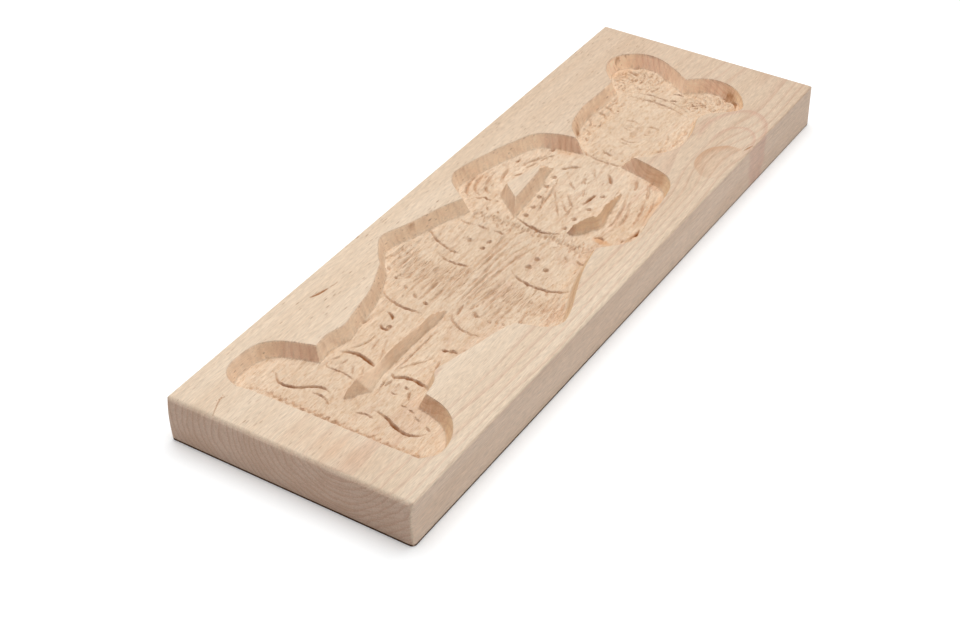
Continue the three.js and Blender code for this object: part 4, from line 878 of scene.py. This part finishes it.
def beechMaterial():
    material, w = newMaterial("beech")
    place = w.vector("MULTIPLY", w.make("ShaderNodeTexCoord", out="Object"), (1 / mm,) * 3)
    x, y, z = (place.axis(k) for k in range(3))
    normal = w.make("ShaderNodeNewGeometry", out="Normal")
    wallMask, cutAndShadeMask, hollow, warmMask = (
        w.make("ShaderNodeAttribute", {"attribute_name": name}, out="Fac")
        for name in ("wall", "cut", "hollow", "warm"))

    def stretched(across, long):
        return w.vector("MULTIPLY", place, (1 / across, 1 / long, 1 / across))

    def noise(across, long, detail=2, rough=0.5):
        # from 0 to 1, in blobs of the given size in millimetres
        return w.make("ShaderNodeTexNoise", {"normalize": True}, {
            "Vector": stretched(across, long), "Scale": 1, "Detail": detail, "Roughness": rough})

    def oval(spot):
        # 0 in the middle of a spot, 1 on its edge
        (cx, cy), (rx, ry) = spot
        return ((x - cx) / rx)**2 + ((y - cy) / ry)**2

    def lateWood(radius, pitch, start, stop):
        # the darker line that ends each growth ring
        phase = w.math("FRACT", radius / pitch)
        return phase.fade(start, stop) * (1 - phase.fade(stop, 1))

    # growth rings round a pith above the top face, lifted where a branch stood near
    drift = noise(30, 160) - 0.5
    ripple = noise(6, 70) - 0.5
    px = x - beech["pith"][0] - beech["pithLean"][0] * y
    pz = z - beech["pith"][1] - beech["pithLean"][1] * y
    lift = w.math("EXPONENT", -oval(beech["knot"])) * beech["knotLift"]
    radius = w.math("SQRT", px * px + pz * pz) + lift + drift * 9 + ripple * 1.2
    late = lateWood(radius, beech["ringPitch"], 0.55, 0.97)
    topRings = noise(12, 200, 1) * (0.35 + 0.65 * x.fade(-15, 25)) * late
    ex, ez = x - beech["endPith"][0], z - beech["endPith"][1]
    endRadius = w.math("SQRT", ex * ex + ez * ez) + drift * 12 + ripple * 2
    endRings = lateWood(endRadius, beech["endPitch"], 0.45, 0.95) * beech["endRingShare"]

    # the knot's heart, a darker oval with a crisp rim, and two pink rings beyond it
    inHeart = w.math("SQRT", oval(beech["heart"])) + ripple * 0.16
    rimShare = inHeart.fade(0.6, 0.95) * (x - y * 0.35).fade(22, 6)
    heart = inHeart.fade(1.04, 0.97) * (0.3 + 0.75 * rimShare) * x.fade(57, 44)
    heartRing = 0
    for spot in beech["heartRings"]:
        gap = w.math("SQRT", oval(spot)) + ripple * 0.16
        heartRing = heartRing + gap.fade(1.04, 0.98) * gap.fade(0.8, 1) * y.fade(90, 102)
    blush = w.math("EXPONENT", -oval(beech["blush"])) * noise(3, 12)

    # pale and warm bands, fine fibres and mottling along the board
    bands = noise(9, 110, 3).fade(0.3, 0.72)
    fibres = noise(0.34, 3.6, 2, 0.6) - 0.5
    mottle = noise(1.1, 8) - 0.5

    def dashes(across, long, radius, share):
        # short dashes along the board, a share of them dark and the rest hardly seen
        cell, shade = (w.make("ShaderNodeTexVoronoi", {"feature": "F1"},
                              {"Vector": stretched(across, long), "Scale": 1, "Randomness": 1}, out)
                       for out in ("Distance", "Color"))
        return cell.fade(radius, radius * 0.4) * shade.axis(0).fade(1 - share, 1)

    patches = noise(25, 60).fade(0.35, 0.7)
    leftwards = x.fade(25, -45)
    fleck = dashes(1.1, 5.5, 0.28, 0.85) * (0.5 + 0.5 * patches) * (0.4 + 0.6 * leftwards)
    bigFleck = dashes(2.6, 10, 0.16, 0.5) * (0.15 + 0.85 * leftwards)

    # masks of the end faces, the long sides, the painted contact shadow at the foot of both, the top face
    # and the floor
    endGrain = w.math("ABSOLUTE", normal.axis(1)).fade(0.6, 0.97)
    sideGrain = w.math("ABSOLUTE", normal.axis(0)).fade(0.7, 0.95) * (1 - hollow.fade(0, 0.1))
    # painted contact shadow along the foot of the ends and sides, weaker towards the far end of the sides
    sideFootShadow = sideGrain * (1 - 0.6 * y.fade(-60, 120))
    footHeights = (plank["footEnd"] + 0.1, plank["footEnd"] - 0.1)
    foot = z.fade(*footHeights) * w.math("MAXIMUM", endGrain, sideFootShadow)
    openFace = (1 - endGrain) * (1 - 0.8 * sideGrain)
    onTop = 1 - hollow.fade(0, 0.3)
    onFloor = 1 - wallMask

    # the colour in layers, before and after the light and dark of the fibres and mottling, with painted
    # light on the walls and long sides
    colour = w.mix(bands, beech["pale"], beech["warm"])
    rings = w.math("MAXIMUM", topRings * (0.8 - 0.5 * sideGrain), endGrain * endRings)
    for share, tone in ((rings, "ringTone"), (blush * beech["blushShare"], "blushTone"),
                        (heart * beech["heartShare"], "heartTone"),
                        (heartRing * beech["heartRingShare"], "heartRingTone")):
        colour = w.mix(share, colour, beech[tone])
    # painted light lifts the walls, more towards the far end, and the long sides, more low down and less
    # at the far end; the top is a little darker towards the right
    grainAndFaceLight = (1 + fibres * 0.6 + mottle * 0.2 + sideGrain * (0.12 - z * 0.004 - 0.05 * y.fade(80, 150))
             + wallMask * (0.44 + 0.2 * y.fade(30, 120)) - onTop * (0.025 + 0.03 * x.fade(0, 40)))
    colour = w.make("ShaderNodeVectorMath", {"operation": "SCALE"}, {0: colour, "Scale": grainAndFaceLight})
    stain = noise(1.6, 4, 3, 0.6).fade(0.42, 0.75)
    chestPale = 1 - 0.5 * y.fade(25, 40) * y.fade(68, 58)
    tooling = noise(0.4, 2.2, 3, 0.65).fade(0.5, 0.7)
    # layers over the colour; the foot layer is painted contact shadow, and the cut layer holds painted
    # shade as well as the cut wood's darker tone
    for share, tone, blend in (
            (openFace * fleck * beech["fleckShare"], "fleckTone", "MIX"),
            (openFace * bigFleck * beech["bigFleckShare"], "fleckTone", "MIX"),
            (y.fade(-60, 165) * (1 - sideGrain) * onTop, "farTone", "MULTIPLY"),
            (hollow.fade(0.5, 1) * (0.15 + 0.42 * stain) * onFloor * chestPale, "floorTone", "MIX"),
            (hollow.fade(0.6, 0.9) * onFloor * tooling * beech["toolShare"], "toolTone", "MIX"),
            (wallMask, "wallTone", "MULTIPLY"),
            (wallMask * x.fade(5, 30), "rightWallTone", "MULTIPLY"),
            (endGrain, "endTone", "MULTIPLY"),
            (sideGrain, "sideTone", "MULTIPLY"),
            (foot, "footShadowTone", "MULTIPLY"),
            (warmMask * (0.4 - 0.22 * wallMask), "warmTone", "MIX"),
            (cutAndShadeMask * beech["cutAndShadeShare"], "cutAndShadeTone", "MIX")):
        colour = w.mix(share, colour, beech[tone], blend)

    pores = noise(0.3, 1.6, 2, 0.6)
    crumbs = noise(0.5, 1.6, 3, 0.6)
    height = fibres * 0.8 + pores * 0.5 + hollow * onFloor * (crumbs * 2.6 - tooling * 0.8)
    bump = w.make("ShaderNodeBump", values={
        "Strength": beech["bump"], "Distance": beech["bumpHeight"] * mm, "Height": height})
    shader = w.make("ShaderNodeBsdfPrincipled", values={
        "Base Color": colour, "Roughness": beech["rough"], "Specular IOR Level": beech["specular"],
        "Normal": bump})
    w.make("ShaderNodeOutputMaterial", values={"Surface": shader})
    return material


board.data.materials.append(beechMaterial())
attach(board, "root")
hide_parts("board")
print("board made")

# The floor's reach, drop and tone, how far it lights itself near and far, and the sky. Metres.
stage = {
    "reach": 4, "drop": 0.00005, "paper": (0.92, 0.935, 0.945, 1), "paperRough": 0.9,
    "lift": 0.14, "farLift": (0.6, 1.5), "sky": 0.2, "skyTint": (1, 0.99, 0.98, 1),
}


def makeFloor():
    reach = stage["reach"]
    plane = bpy.data.meshes.new("floor")
    plane.from_pydata([(-reach, -reach, 0), (reach, -reach, 0), (reach, reach, 0), (-reach, reach, 0)],
                      [], [(0, 1, 2, 3)])
    floor = bpy.data.objects.new("floor", plane)
    floor.location.z = -stage["drop"]
    bpy.context.collection.objects.link(floor)
    material, w = newMaterial("paper")
    seen = w.make("ShaderNodeLightPath", out="Is Camera Ray")
    away = w.make("ShaderNodeVectorMath", {"operation": "LENGTH"},
                  {0: w.make("ShaderNodeTexCoord", out="Object")}, "Value")
    # keeps the far floor white
    lift = stage["lift"] + (1 - stage["lift"]) * away.fade(*stage["farLift"])
    shader = w.make("ShaderNodeBsdfPrincipled", values={
        "Base Color": stage["paper"], "Roughness": stage["paperRough"], "Specular IOR Level": 0,
        "Emission Color": w.mix(seen * lift, (0, 0, 0, 1), (1, 1, 1, 1)), "Emission Strength": 1})
    w.make("ShaderNodeOutputMaterial", values={"Surface": shader})
    floor.data.materials.append(material)
    floor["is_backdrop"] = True


def makeSky():
    world = bpy.data.worlds.new("sky")
    bpy.context.scene.world = world
    world.use_nodes = True
    world.node_tree.nodes.clear()
    w = Wire(world.node_tree)
    direct = w.math("MAXIMUM", *(w.make("ShaderNodeLightPath", out=name)
                                 for name in ("Is Camera Ray", "Is Transmission Ray")))
    back = w.make("ShaderNodeBackground", values={
        "Color": w.mix(direct, stage["skyTint"], (1, 1, 1, 1)),
        "Strength": stage["sky"] + direct * (1 - stage["sky"])})
    w.make("ShaderNodeOutputWorld", values={"Surface": back})


softbox = {"at": (-0.12, 0.3, 2.1), "size": 2.4, "power": 58}


def makeSoftbox():
    data = bpy.data.lights.new("softbox", "AREA")
    data.shape = "SQUARE"
    data.size = softbox["size"]
    data.energy = softbox["power"]
    light = bpy.data.objects.new("softbox", data)
    light.location = softbox["at"]
    light.rotation_euler = Vector(softbox["at"]).to_track_quat("Z", "Y").to_euler()
    bpy.context.collection.objects.link(light)


makeFloor()
makeSky()
makeSoftbox()
bpy.context.scene.view_settings.view_transform = "Standard"
print("floor and lights placed")

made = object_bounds()
